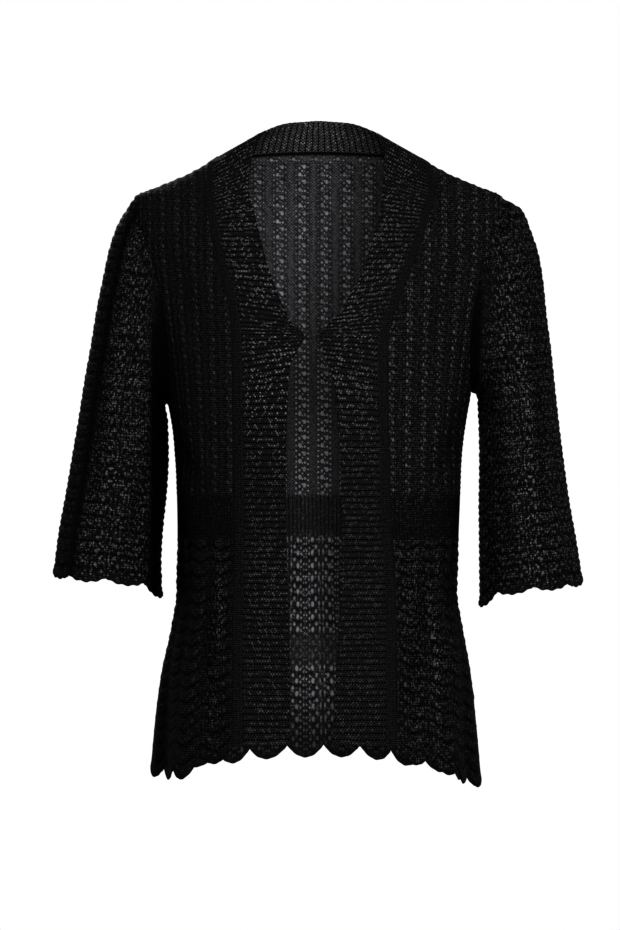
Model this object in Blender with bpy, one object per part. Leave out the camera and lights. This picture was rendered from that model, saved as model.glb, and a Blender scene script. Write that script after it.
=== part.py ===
"""A black lace-knit cardigan with half sleeves, filled out as when it is worn, with nobody in it.

+Z is up, the front faces -Y and left means the wearer's left, at +X. The origin lies between the shoulders,
level with the sides of the neck. Sizes below are in millimetres and become metres when a mesh is made.

The torso is one smooth surface, given by a turn round it and a height: front panels, back, bands, edgings and
collar are all cut from it, so that pieces share their seam lines. Each piece is a knitted wall: a plain inner
sheet and an outer sheet that carries the ribs.
"""
import math

import bmesh
import bpy
from mathutils import Vector

MM = 0.001

# Walls of cloth and what is raised on them
PANEL_WALL = 1.5
SLEEVE_WALL = 1.5
BAND_WALL = 1.9
EDGING_WALL = 1.9
RIB_RELIEF = 0.9
BAND_RIB_RELIEF = 1.0
EDGING_CROWN = 0.9
SEAM_GAP = 0.3

# Ribs, stations and scallops
BAND_RIB_PITCH = 7.0
SHOULDER_COLUMNS = 12
NECK_COLUMNS = 12
FRONT_COLUMNS = 12
BACK_COLUMNS = 36
SLEEVE_COLUMNS = 24
ARMHOLE_ROWS = 12
SIDE_ROWS = 10
TOP_BLEND_ROWS = 9
FLAT_TOP_ROWS = 4
COLUMNS_PER_SCALLOP = 3
HEM_SCALLOP = 13.0
CUFF_SCALLOP = 9.0
CUFF_DROOP = 13.0
CUFF_DROOP_SHARPNESS = 6

# Heights on the shoulder line, where it turns 90 degrees from centre front
SIDE_TURN = 90.0
RIM_HEIGHT = 16.0
BAND_SEAM_HEIGHT = -7.5
PANEL_SEAM_HEIGHT = -13.0
SHOULDER_POINT = -48.0

# Back of the neck: rise of the collar's rim and of the seams above their ends on the shoulders
NECK_CURVE = 1.15
RIM_RISE = 16.2
BAND_SEAM_RISE = 10.5
PANEL_SEAM_RISE = 8.0

# Armhole: an oval in turn and height
UNDERARM = -254.0
ARMHOLE_FRONT_TURN = 24.0
ARMHOLE_BACK_TURN = 22.0
STRIP_UNDERARM = -243.0

# Hem: the valleys between scallops, on the fronts by share of the way from edging to side seam
BAND_HEM = -588.0
HEM_COLUMNS = ("share", "right", "left")
FRONT_HEM = (
    (0, -590, -590),
    (0.2, -597, -598),
    (0.4, -611, -607),
    (0.7, -613, -619),
    (1, -612, -625),
)
BACK_HEM = -601.0
BACK_HEM_SHIFT = -3.1
WAIST = -455.0

# The chest's cross-section is squarer than an ellipse by this share
SQUARENESS = 0.12

# How much wider in turn the back's columns are at its sides, so that they are as wide as those at its middle
SIDE_SPREAD = 0.12

# Soft flutes of the skirt: troughs between crests, none at the bands
FLUTES = 10
FLUTE_DEPTH = 9.0
FLUTE_START_TURN = 30.0
FLUTE_FULL_TURN = 50.0
HEM_HEIGHT = -620.0
SLEEVE_FOLDS = 6
SLEEVE_FOLD_DEPTH = 4.0

BODY_COLUMNS = ("height", "half_width", "front_depth", "back_depth", "lean")
BODY_SECTIONS = (
    (34, 27, 8, 43, 0),
    (16, 60, 10, 57, 0),
    (-6, 98.5, 20, 74, 0),
    (-24, 130, 33, 83, 0),
    (-36, 158, 43, 88, 0),
    (-48, 184, 53, 92, 0),
    (-75, 186, 71, 98, 0),
    (-100, 181, 86, 102, 0),
    (-150, 170, 106, 105, 0),
    (-200, 160, 118, 103, 0),
    (-250, 151, 124, 97, 0),
    (-300, 143, 121, 89, 0),
    (-350, 141, 112, 81, 0),
    (-400, 139.5, 103, 78, -0.5),
    (-440, 139.5, 104, 83, -1.5),
    (-475, 145, 108, 90, -1.5),
    (-525, 155, 115, 102, -2.5),
    (-575, 161, 122, 111, -3),
    (-645, 167, 131, 119, -3),
)

# The front's long edges, as distances from the middle: a band's free edge and its panel's seam, on each side
EDGE_COLUMNS = ("height", "right_edge", "right_seam", "left_edge", "left_seam")
FRONT_EDGES = (
    (16, 60, 110, 60, 110),
    (-7, 66.8, 110, 66.2, 110),
    (-22, 67.8, 113, 65, 114.5),
    (-35, 68, 112.5, 63.8, 116),
    (-52, 66.9, 110.8, 62, 114.2),
    (-70, 62.2, 108.2, 59, 108.6),
    (-95, 56.4, 104, 52.7, 100.6),
    (-120, 49.4, 97.5, 44.8, 92),
    (-155, 36.8, 89, 26.7, 78.2),
    (-177, 26, 86, 9.8, 71),
    (-190, 13.9, 85, 0.4, 67.8),
    (-203, 21.2, 84.6, 3.2, 66.8),
    (-221, 28, 84.3, 11, 66.8),
    (-245, 30, 84, 16.2, 67.6),
    (-286, 31.3, 83.6, 19.7, 68.6),
    (-351, 32.2, 83, 22.2, 70),
    (-440, 30, 83.5, 20.7, 75),
    (-525, 28, 84, 16.5, 75.6),
    (-590, 28, 84, 12.5, 75.6),
)
EDGING_WIDTH_AT_SHOULDER = 6.5
EDGING_WIDTH = 9.0

# Sleeve rings, from armhole to cuff: the outer (lateral) and the inner (medial) edge, and half the depth
SLEEVE_COLUMN_NAMES = ("outer_x", "outer_z", "inner_x", "inner_z", "half_depth")
SLEEVE_RINGS = {
    -1: (
        (184, -48, 151, -254, 44),
        (190.5, -58, 153.8, -256.5, 44.5),
        (200.5, -74, 153, -261, 45),
        (209, -98, 152, -268, 45.5),
        (215.5, -128, 151, -278, 46),
        (222, -160, 150.2, -292, 46.5),
        (227.5, -194, 149.6, -310, 47),
        (234, -230, 150.4, -330, 47.5),
        (240, -268, 152, -350, 48),
        (246.5, -306, 154.3, -371, 48.5),
        (253, -344, 156, -392, 49),
        (260, -382, 156.8, -413, 49.5),
        (265, -419, 156, -429, 50),
    ),
    1: (
        (184, -48, 151, -254, 44),
        (203, -60, 154.5, -256, 44.5),
        (212, -80, 156, -261, 45),
        (220, -104, 157.5, -269, 45.5),
        (224.8, -133, 158.6, -280, 46),
        (228, -165, 159.2, -295, 46.5),
        (232.5, -199, 159.5, -313, 47),
        (236.3, -235, 159.6, -333, 47.5),
        (240.5, -273, 159.8, -354, 48),
        (245.5, -312, 160, -376, 48.5),
        (251, -351, 160.2, -399, 49),
        (258, -390, 160.4, -422, 49.5),
        (264, -427, 160.6, -438, 50),
    ),
}
SLEEVE_CENTRE_Y = -2.0
FIRST_RING = 0.8
# Share of the armhole's own outline that is left in each ring below it
ARMHOLE_SHARE = (1.0, 0.62, 0.34, 0.16, 0.05)

# Hook and eye
FASTENER_HEIGHT = -191.5
HOOK_WIRE = 1.0
EYE_WIRE = 0.8
HOOK_BEND_RADIUS = 1.3
HOOK_SHANK_START = -25.0
HOOK_BEND_X = -6.6
HOOK_RETURN = 3.2
EYE_HALF_WIDTH = 1.5
EYE_END = 12.5
SEWING_LOOP_RADIUS = 2.0
LOOP_TOP = 6.0

BLACK_YARN = (0.0062, 0.0062, 0.0068, 1.0)
BLACK_WIRE = (0.004, 0.004, 0.004, 1.0)


def smooth_lookup(names, rows, name, station):
    """Value of a named column at a station of the first column, on a curve that never overshoots its rows."""
    column = names.index(name)
    points = sorted((row[0], row[column]) for row in rows)
    if station <= points[0][0]:
        return points[0][1]
    if station >= points[-1][0]:
        return points[-1][1]
    last = len(points) - 2
    spot = next(k for k in range(last + 1) if station <= points[k + 1][0])

    def chord(k):
        return (points[k + 1][1] - points[k][1]) / (points[k + 1][0] - points[k][0])

    def slope(k):
        if k == 0:
            return chord(0)
        if k == last + 1:
            return chord(last)
        before = chord(k - 1)
        after = chord(k)
        if before * after <= 0:
            return 0.0
        return 2 * before * after / (before + after)

    span = points[spot + 1][0] - points[spot][0]
    t = (station - points[spot][0]) / span
    start = points[spot][1] * (1 + 2 * t) * (1 - t) ** 2 + slope(spot) * span * t * (1 - t) ** 2
    end = points[spot + 1][1] * t * t * (3 - 2 * t) - slope(spot + 1) * span * t * t * (1 - t)
    return start + end


def ease(value, low, high):
    """0 below low, 1 above high and a smooth step between."""
    t = min(max((value - low) / (high - low), 0.0), 1.0)
    return t * t * (3 - 2 * t)


def body(name, height):
    return smooth_lookup(BODY_COLUMNS, BODY_SECTIONS, name, height)


def front_edge(name, height):
    return smooth_lookup(EDGE_COLUMNS, FRONT_EDGES, name, height)


def torso_point(turn, height):
    """The torso's surface; turn is in degrees from centre front towards the wearer's left."""
    across = math.sin(math.radians(turn))
    along = math.cos(math.radians(turn))
    depth = body("front_depth" if along > 0 else "back_depth", height)
    x = body("half_width", height) * across
    y = -depth * along * (1 + SQUARENESS * across * across)
    away = abs((turn + 180) % 360 - 180)
    fade = ease(away, FLUTE_START_TURN, FLUTE_FULL_TURN) * ease(-height, -WAIST, -HEM_HEIGHT)
    trough = FLUTE_DEPTH * fade * (1 - math.cos(math.radians(FLUTES * (away - SIDE_TURN)))) / 2
    return Vector((x - trough * across + body("lean", height), y + trough * along, height))


def torso_normal(turn, height):
    """Outward unit normal of the torso's surface."""
    round_it = torso_point(turn + 0.5, height) - torso_point(turn - 0.5, height)
    up_it = torso_point(turn, height + 0.5) - torso_point(turn, height - 0.5)
    return round_it.cross(up_it).normalized()


def turn_at(x, height):
    """The turn, on the front, of the point that lies x to the side at a height."""
    share = (x - body("lean", height)) / body("half_width", height)
    return math.degrees(math.asin(min(max(share, -1.0), 1.0)))


def seam_spot(turn, height):
    """A seam's point with the normal that the pieces on both of its sides share."""
    return torso_point(turn, height), torso_normal(turn, height)


def side_name(side):
    return "left" if side > 0 else "right"


def panel_seam_heights():
    """Heights of the stations down a front panel's edging seam: closer together over the shoulder."""
    drop = PANEL_SEAM_HEIGHT - STRIP_UNDERARM
    upper = [PANEL_SEAM_HEIGHT - drop * (k / ARMHOLE_ROWS) ** 2 for k in range(ARMHOLE_ROWS + 1)]
    step = (STRIP_UNDERARM - FRONT_HEM[0][1]) / SIDE_ROWS
    return upper + [STRIP_UNDERARM - step * k for k in range(1, SIDE_ROWS + 1)]


def panel_seam(side, row):
    """Turn and height of a station on the seam between edging and front panel."""
    height = panel_seam_heights()[row]
    if row == 0:
        return side * SIDE_TURN, height
    return turn_at(side * front_edge(side_name(side) + "_seam", height), height), height


def band_seam(side, row):
    """Turn and height of a station on the seam between band and edging."""
    outer_height = panel_seam_heights()[row]
    rise = BAND_SEAM_HEIGHT - PANEL_SEAM_HEIGHT
    height = outer_height + rise * ease(outer_height, STRIP_UNDERARM, PANEL_SEAM_HEIGHT)
    if row == 0:
        return side * SIDE_TURN, BAND_SEAM_HEIGHT
    growth = ease(-height, -SHOULDER_POINT, -STRIP_UNDERARM)
    width = EDGING_WIDTH_AT_SHOULDER + (EDGING_WIDTH - EDGING_WIDTH_AT_SHOULDER) * growth
    x = front_edge(side_name(side) + "_seam", height) - width
    return turn_at(side * x, height), height


def front_hem(side, share):
    """Height of the valleys of a front panel's hem, by share of the way from edging to side seam."""
    return smooth_lookup(HEM_COLUMNS, FRONT_HEM, side_name(side), share)


def side_seam(side, row, back):
    """Turn and height of a station on the armhole edge and, below it, on the side seam."""
    if row <= ARMHOLE_ROWS:
        angle = math.pi * row / ARMHOLE_ROWS
        reach = ARMHOLE_BACK_TURN if back else -ARMHOLE_FRONT_TURN
        middle = (SHOULDER_POINT + UNDERARM) / 2
        turn = SIDE_TURN + reach * math.sin(angle)
        return side * turn, middle + (SHOULDER_POINT - UNDERARM) / 2 * math.cos(angle)
    share = (row - ARMHOLE_ROWS) / SIDE_ROWS
    return side * SIDE_TURN, UNDERARM + (front_hem(side, 1.0) - UNDERARM) * share


def shoulder_seam(side, column):
    """Turn and height of a station on the shoulder seam, from the edging out to the shoulder point."""
    share = column / SHOULDER_COLUMNS
    return side * SIDE_TURN, PANEL_SEAM_HEIGHT + (SHOULDER_POINT - PANEL_SEAM_HEIGHT) * share


def neck_line(column, end_height, rise):
    """Turn and height on a line round the back of the neck, from the left shoulder to the right one."""
    share = column / NECK_COLUMNS
    return SIDE_TURN + 180 * share, end_height + rise * math.sin(math.pi * min(max(share, 0.0), 1.0)) ** NECK_CURVE


def scallop(column, depth):
    """How far a scalloped edge hangs below its valleys at a column, which may lie between two."""
    share = (column / COLUMNS_PER_SCALLOP) % 1.0
    return depth * math.sin(math.pi * share) ** 0.8


def spread_round(share):
    """Share of the turn round the back at a share of its columns."""
    return share + SIDE_SPREAD * math.sin(math.tau * share) / math.tau


def patch(u, row, sides, top, bottom, spread=float):
    """Turn and height inside a panel, from those on its four edges.

    Rows run straight from side to side, bent to the top edge near it and to the bottom edge near that. spread
    turns a share of the columns into a share of the turn.
    """
    across = spread(u)
    rows = ARMHOLE_ROWS + SIDE_ROWS
    near_top = max(1 - row / TOP_BLEND_ROWS, 0.0) ** 2
    near_bottom = max(row - ARMHOLE_ROWS, 0) / (rows - ARMHOLE_ROWS)
    spot = []
    for axis in (0, 1):
        level = (1 - across) * sides[0][axis] + across * sides[1][axis]
        upper = (1 - across) * top(0.0)[axis] + across * top(1.0)[axis]
        lower = (1 - across) * bottom(0.0)[axis] + across * bottom(1.0)[axis]
        spot.append(level + near_top * (top(u)[axis] - upper) + near_bottom * (bottom(u)[axis] - lower))
    return spot


def body_rib(column, row, height):
    """Ribs on every second line of the bodice; on the skirt a valley at each scallop's edge."""
    bodice = RIB_RELIEF * ease(row, 0, FLAT_TOP_ROWS) if column % 2 == 1 else 0.0
    skirt = RIB_RELIEF if column % COLUMNS_PER_SCALLOP else 0.0
    share = ease(-height, -WAIST + 10, -WAIST + 45)
    return bodice * (1 - share) + skirt * share


def knitted_wall(name, columns, rows, face, wall, hem=False, tube=False):
    """One piece of cloth as a closed wall.

    face(column, row) gives the outer sheet's smooth point, its normal and how high the knit is raised there.
    A hem's last edges get a point in their middles, to round its scallops. A seam's edge is drawn in by half
    of the seam gap.
    """
    rows_of_points = {}

    def spots(column, row):
        key = (round(column * 2), round(row * 2))
        if key not in rows_of_points:
            rows_of_points[key] = face(column, row)
        return rows_of_points[key]

    def drawn_in(column, row, sheet):
        """Where a point of a sheet goes, after its seam edges are drawn in."""
        here = sheet(*spots(column, row))
        moved = here.copy()
        if not tube and column in (0, columns):
            inside = sheet(*spots(column + (1 if column == 0 else -1), row))
            moved += (inside - here).normalized() * SEAM_GAP / 2
        if row == 0 and not tube:
            inside = sheet(*spots(column, 1))
            moved += (inside - here).normalized() * SEAM_GAP / 2
        return moved

    def outer_sheet(point, normal, relief):
        return point + normal * relief

    def inner_sheet(point, normal, relief):
        return point - normal * wall

    mesh = bmesh.new()
    across = mesh.verts.layers.float.new("across")
    down = mesh.verts.layers.float.new("down")
    bmesh.ops.create_grid(mesh, x_segments=columns, y_segments=rows, size=0.5)
    for vertex in mesh.verts:
        vertex[across] = round((vertex.co.x + 0.5) * columns)
        vertex[down] = round((0.5 - vertex.co.y) * rows)
    if hem:
        hem_edges = [edge for edge in mesh.edges if all(vertex[down] == rows for vertex in edge.verts)]
        bmesh.ops.subdivide_edges(mesh, edges=hem_edges, cuts=1)
    if tube:
        for vertex in mesh.verts:
            turn = math.tau * vertex[across] / columns
            vertex.co = Vector((math.cos(turn), math.sin(turn), -vertex[down]))
        bmesh.ops.remove_doubles(mesh, verts=mesh.verts[:], dist=1e-4)
    extruded = bmesh.ops.extrude_face_region(mesh, geom=mesh.faces[:], use_keep_orig=True)
    outer_verts = {item for item in extruded["geom"] if isinstance(item, bmesh.types.BMVert)}
    for vertex in mesh.verts:
        sheet = outer_sheet if vertex in outer_verts else inner_sheet
        vertex.co = drawn_in(vertex[across], vertex[down], sheet) * MM
    bmesh.ops.recalc_face_normals(mesh, faces=mesh.faces[:])
    return add_object(name, mesh)


def add_object(name, mesh):
    """Turn a bmesh into a named, smooth-shaded object in black yarn."""
    data = bpy.data.meshes.new(name)
    mesh.to_mesh(data)
    mesh.free()
    data.shade_smooth()
    data.set_sharp_from_angle(angle=math.radians(50))
    thing = bpy.data.objects.new(name, data)
    bpy.context.scene.collection.objects.link(thing)
    data.materials.append(finish(name + "_yarn", BLACK_YARN, 0.62, 0.0))
    return thing


def finish(name, colour, roughness, metallic):
    """A plain material with a colour, a roughness and a metallic value."""
    material = bpy.data.materials.new(name)
    material.use_nodes = True
    shader = material.node_tree.nodes["Principled BSDF"]
    shader.inputs["Base Color"].default_value = colour
    shader.inputs["Roughness"].default_value = roughness
    shader.inputs["Metallic"].default_value = metallic
    material.diffuse_color = colour
    return material


def make_front(side):
    """A front panel, from shoulder seam to scalloped hem."""
    rows = ARMHOLE_ROWS + SIDE_ROWS

    def hem_line(u):
        start = panel_seam(side, rows)[0]
        return start + (side * SIDE_TURN - start) * u, front_hem(side, u)

    def top_line(u):
        return shoulder_seam(side, u * FRONT_COLUMNS)

    def face(column, row):
        u = column / FRONT_COLUMNS
        seam = panel_seam(side, round(row))
        outer = side_seam(side, round(row), back=False)
        turn, height = patch(u, row, (seam, outer), top_line, hem_line)
        at_seam = column in (0, FRONT_COLUMNS) or row == 0
        if row == rows:
            height -= scallop(column, HEM_SCALLOP)
        point, normal = seam_spot(turn, height)
        return point, normal, 0.0 if at_seam else body_rib(round(column), row, height)

    return knitted_wall("front_" + side_name(side), FRONT_COLUMNS, rows, face, PANEL_WALL, hem=True)


def make_back():
    """The back panel, between the shoulder seams, the neck, both armholes and both side seams."""
    rows = ARMHOLE_ROWS + SIDE_ROWS

    def hem_line(u):
        middle = math.sin(math.pi * u) ** 2
        sides = front_hem(1, 1.0) * (1 - u) + front_hem(-1, 1.0) * u
        turn = SIDE_TURN + 180 * spread_round(u) + BACK_HEM_SHIFT * middle
        return turn, sides + (BACK_HEM - sides) * middle

    def top_line(u):
        column = u * BACK_COLUMNS
        if column <= SHOULDER_COLUMNS:
            return shoulder_seam(1, SHOULDER_COLUMNS - column)
        if column <= SHOULDER_COLUMNS + NECK_COLUMNS:
            return neck_line(column - SHOULDER_COLUMNS, PANEL_SEAM_HEIGHT, PANEL_SEAM_RISE)
        turn, height = shoulder_seam(-1, column - SHOULDER_COLUMNS - NECK_COLUMNS)
        return turn + 360, height

    def face(column, row):
        left = side_seam(1, round(row), back=True)
        right = side_seam(-1, round(row), back=True)
        right = (right[0] + 360, right[1])
        turn, height = patch(column / BACK_COLUMNS, row, (left, right), top_line, hem_line, spread_round)
        at_seam = column in (0, BACK_COLUMNS) or row == 0
        if row == rows:
            height -= scallop(column, HEM_SCALLOP)
        point, normal = seam_spot(turn, height)
        return point, normal, 0.0 if at_seam else body_rib(round(column), row, height)

    return knitted_wall("back", BACK_COLUMNS, rows, face, PANEL_WALL, hem=True)


def make_edging(side):
    """The smooth round strip between a band and its front panel."""
    rows = ARMHOLE_ROWS + SIDE_ROWS

    def face(column, row):
        inner = band_seam(side, round(row))
        outer = panel_seam(side, round(row))
        share = column / 2
        turn = inner[0] + (outer[0] - inner[0]) * share
        height = inner[1] + (outer[1] - inner[1]) * share
        point, normal = seam_spot(turn, height)
        return point, normal, EDGING_CROWN if column == 1 else 0.0

    return knitted_wall("edging_" + side_name(side), 2, rows, face, EDGING_WALL)


def make_neck_edging():
    """The rolled strip round the back of the neck, between collar and back panel."""
    def face(column, row):
        inner = neck_line(row, BAND_SEAM_HEIGHT, BAND_SEAM_RISE)
        outer = neck_line(row, PANEL_SEAM_HEIGHT, PANEL_SEAM_RISE)
        share = column / 2
        turn = inner[0]
        height = inner[1] + (outer[1] - inner[1]) * share
        point, normal = seam_spot(turn, height)
        return point, normal, EDGING_CROWN if column == 1 else 0.0

    return knitted_wall("edging_neck", 2, NECK_COLUMNS, face, EDGING_WALL)


def along_polyline(stations, share):
    """Point and normal at a share of a list of seam spots, straight between neighbours."""
    place = min(max(share, 0.0), 1.0) * (len(stations) - 1)
    first = min(int(place), len(stations) - 2)
    part = place - first
    point = stations[first][0].lerp(stations[first + 1][0], part)
    normal = stations[first][1].lerp(stations[first + 1][1], part)
    return point, normal


def height_share(stations, height):
    """Share of a falling list of seam spots at which it reaches a height."""
    heights = [point.z for point, normal in stations]
    if height >= heights[0]:
        return 0.0
    for k in range(len(heights) - 1):
        if height >= heights[k + 1]:
            return (k + (heights[k] - height) / (heights[k] - heights[k + 1])) / (len(heights) - 1)
    return 1.0


def make_band(side):
    """A front band, ribbed across, from the shoulder line to its straight hem."""
    name = side_name(side)
    seam = [seam_spot(*band_seam(side, row)) for row in range(ARMHOLE_ROWS + SIDE_ROWS + 1)]
    steps = 400
    free_edge = []
    for k in range(steps + 1):
        height = RIM_HEIGHT + (BAND_HEM - RIM_HEIGHT) * (k / steps) ** 1.2
        turn = side * SIDE_TURN if k == 0 else turn_at(side * front_edge(name + "_edge", height), height)
        free_edge.append((turn, height))
    lengths = [0.0]
    for first, second in zip(free_edge, free_edge[1:]):
        lengths.append(lengths[-1] + (torso_point(*second) - torso_point(*first)).length)
    ribs = round(lengths[-1] / BAND_RIB_PITCH)
    rows = 2 * ribs
    tilt_at_shoulder = RIM_HEIGHT - BAND_SEAM_HEIGHT

    def edge_spot(row):
        """Turn and height on the free edge, an even step of its length for each row."""
        target = lengths[-1] * row / rows
        k = next(i for i in range(1, steps + 1) if lengths[i] >= target - 1e-6)
        part = (target - lengths[k - 1]) / (lengths[k] - lengths[k - 1])
        first, second = free_edge[k - 1], free_edge[k]
        return [a + (b - a) * part for a, b in zip(first, second)]

    def seam_height(height):
        """Height on the seam that a rib reaches: it slopes over the shoulder and is level lower down."""
        level = min(max((height - STRIP_UNDERARM) / (RIM_HEIGHT - STRIP_UNDERARM), 0.0), 1.0)
        return height - tilt_at_shoulder * level

    def face(column, row):
        turn, height = edge_spot(row)
        lower = seam_height(height)
        end = seam[-1][0].z
        if lower < end or row == rows:
            lower = end
        point, normal = along_polyline(seam, height_share(seam, lower))
        relief = BAND_RIB_RELIEF if round(row) % 2 == 1 else 0.0
        if column == 2:
            return point, normal, 0.0
        if column == 1:
            seam_turn = turn_at(point.x, point.z) if row else side * SIDE_TURN
            point, normal = seam_spot((turn + seam_turn) / 2, (height + lower) / 2)
            return point, normal, relief
        point, normal = seam_spot(turn, height)
        return point, normal, relief

    return knitted_wall("band_" + name, 2, rows, face, BAND_WALL)


def make_collar():
    """The ribbed band that stands round the back of the neck, from shoulder to shoulder."""
    seam = [seam_spot(*neck_line(k, BAND_SEAM_HEIGHT, BAND_SEAM_RISE)) for k in range(NECK_COLUMNS + 1)]
    rim_length = sum((second[0] - first[0]).length for first, second in zip(seam, seam[1:]))
    ribs = round(rim_length * 0.85 / BAND_RIB_PITCH)
    rows = 2 * ribs

    def face(column, row):
        share = row / rows
        relief = BAND_RIB_RELIEF if round(row) % 2 == 1 else 0.0
        rim = neck_line(share * NECK_COLUMNS, RIM_HEIGHT, RIM_RISE)
        foot = neck_line(share * NECK_COLUMNS, BAND_SEAM_HEIGHT, BAND_SEAM_RISE)
        if column == 2:
            point, normal = along_polyline(seam, share)
            return point, normal, 0.0
        part = column / 2
        point, normal = seam_spot(rim[0], rim[1] + (foot[1] - rim[1]) * part)
        return point, normal, relief

    return knitted_wall("collar", 2, rows, face, BAND_WALL)


def sleeve_value(side, name, ring):
    """A sleeve column at a ring number, which may lie between two rings."""
    rows = [(k,) + row for k, row in enumerate(SLEEVE_RINGS[side])]
    return smooth_lookup(("ring",) + SLEEVE_COLUMN_NAMES, rows, name, ring)


def sleeve_oval(side, turn, ring):
    """A point on a sleeve's ring; turn is in degrees from its outer edge by way of the front."""
    outer = Vector((sleeve_value(side, "outer_x", ring), 0.0, sleeve_value(side, "outer_z", ring)))
    inner = Vector((sleeve_value(side, "inner_x", ring), 0.0, sleeve_value(side, "inner_z", ring)))
    middle = (outer + inner) / 2 + Vector((0.0, SLEEVE_CENTRE_Y, 0.0))
    angle = math.radians(turn)
    fold = SLEEVE_FOLD_DEPTH * ease(ring, 2, 12) * (1 - math.cos(SLEEVE_FOLDS * angle)) / 2
    depth = sleeve_value(side, "half_depth", ring) - fold
    half = (outer - inner) / 2
    half = half * (1 - fold / half.length)
    return middle + half * math.cos(angle) - Vector((0.0, depth * math.sin(angle), 0.0))


def armhole_spot(turn):
    """The armhole's edge on the left side, with the torso's normal and the way out of the panel."""
    folded = turn % 360
    back = folded > 180
    row = (360 - folded if back else folded) / 180 * ARMHOLE_ROWS
    point, normal = seam_spot(*side_seam(1, row, back))
    step = 4.0

    def neighbour(angle):
        angle = angle % 360
        behind = angle > 180
        place = (360 - angle if behind else angle) / 180 * ARMHOLE_ROWS
        return torso_point(*side_seam(1, place, behind))

    tangent = (neighbour(turn + step) - neighbour(turn - step)).normalized()
    return point, normal, normal.cross(tangent).normalized()


def sleeve_point(side, turn, ring):
    """The sleeve's smooth surface, on the left side: ovals that take up the armhole's outline near it."""
    share = 0.0
    if ring < len(ARMHOLE_SHARE) - 1:
        first = int(ring)
        share = ARMHOLE_SHARE[first] + (ARMHOLE_SHARE[first + 1] - ARMHOLE_SHARE[first]) * (ring - first)
    point = sleeve_oval(side, turn, ring)
    if share > 0:
        point = point + (armhole_spot(turn)[0] - sleeve_oval(side, turn, 0)) * share
    return point


def sleeve_normal(side, turn, ring):
    round_it = sleeve_point(side, turn + 2, ring) - sleeve_point(side, turn - 2, ring)
    along_it = sleeve_point(side, turn, max(ring - 0.4, 0.0)) - sleeve_point(side, turn, ring + 0.4)
    return along_it.cross(round_it).normalized()


def make_sleeve(side):
    """A set-in sleeve: a tube from the armhole to a scalloped cuff."""
    rings = len(SLEEVE_RINGS[side]) - 1

    def mirrored(vector):
        return Vector((side * vector.x, vector.y, vector.z))

    def face(column, row):
        turn = 360 * column / SLEEVE_COLUMNS
        if row == 0:
            point, panel_normal, way_out = armhole_spot(turn)
            normal = (panel_normal + sleeve_normal(side, turn, FIRST_RING)).normalized()
            return mirrored(point + way_out * SEAM_GAP), mirrored(normal), 0.0
        relief = RIB_RELIEF if round(column) % 2 == 1 else 0.0
        point = sleeve_point(side, turn, row)
        normal = sleeve_normal(side, turn, min(row, rings - 0.4))
        if row == rings:
            inner_side = max(-math.cos(math.radians(turn)), 0.0)
            point.z -= scallop(column, CUFF_SCALLOP) + CUFF_DROOP * inner_side ** CUFF_DROOP_SHARPNESS
        return mirrored(point), mirrored(normal), relief

    name = "sleeve_" + side_name(side)
    return knitted_wall(name, SLEEVE_COLUMNS, rings, face, SLEEVE_WALL, hem=True, tube=True)


def add_wire(name, points, diameter):
    """A bent wire with closed ends."""
    data = bpy.data.curves.new(name, "CURVE")
    data.dimensions = "3D"
    data.bevel_depth = diameter / 2 * MM
    data.bevel_resolution = 1
    data.use_fill_caps = True
    spline = data.splines.new("POLY")
    spline.points.add(len(points) - 1)
    for target, point in zip(spline.points, points):
        target.co = (*(point * MM), 1.0)
    wire = bpy.data.objects.new(name, data)
    bpy.context.scene.collection.objects.link(wire)
    data.materials.append(finish(name + "_enamel", BLACK_WIRE, 0.3, 0.0))
    return wire


def arc(centre, radius, start, end, steps, axes):
    """Points on an arc about a centre, in degrees, in the plane of two axes."""
    first, second = axes
    turns = [math.radians(start + (end - start) * k / steps) for k in range(steps + 1)]
    return [centre + first * radius * math.cos(a) + second * radius * math.sin(a) for a in turns]


def make_hook():
    """The hook: a sewing loop, a shank inside the right band and a bend round the eye's bar."""
    x_axis = Vector((1, 0, 0))
    y_axis = Vector((0, 1, 0))
    z_axis = Vector((0, 0, 1))
    shank_y = hook_line()
    loop_centre = Vector((HOOK_SHANK_START, shank_y, FASTENER_HEIGHT + SEWING_LOOP_RADIUS))
    points = arc(loop_centre, SEWING_LOOP_RADIUS, 10, 270, 10, (x_axis, z_axis))
    bend = Vector((HOOK_BEND_X, shank_y + HOOK_BEND_RADIUS, FASTENER_HEIGHT))
    points += arc(bend, HOOK_BEND_RADIUS, -90, 90, 6, (x_axis, y_axis))
    points.append(points[-1] - x_axis * HOOK_RETURN)
    return add_wire("hook", points, HOOK_WIRE)


def band_inside(side, x):
    """How far back a band's inner face lies at the top of the sewing loops, at a place x to the side."""
    height = FASTENER_HEIGHT + LOOP_TOP
    edge = front_edge(side_name(side) + "_edge", height)
    seam = front_edge(side_name(side) + "_seam", height) - EDGING_WIDTH
    edge_turn = turn_at(side * edge, height)
    middle_turn = (edge_turn + turn_at(side * seam, height)) / 2
    spots = []
    for turn in (edge_turn, middle_turn):
        point, normal = seam_spot(turn, height)
        spots.append(point - normal * BAND_WALL)
    share = (x - spots[0].x) / (spots[1].x - spots[0].x)
    return spots[0].y + (spots[1].y - spots[0].y) * max(share, 0.0)


def hook_line():
    """How far back the hook's straight shank lies."""
    farthest = HOOK_SHANK_START - SEWING_LOOP_RADIUS - HOOK_WIRE
    return band_inside(-1, farthest) + SEAM_GAP + HOOK_WIRE / 2


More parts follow.
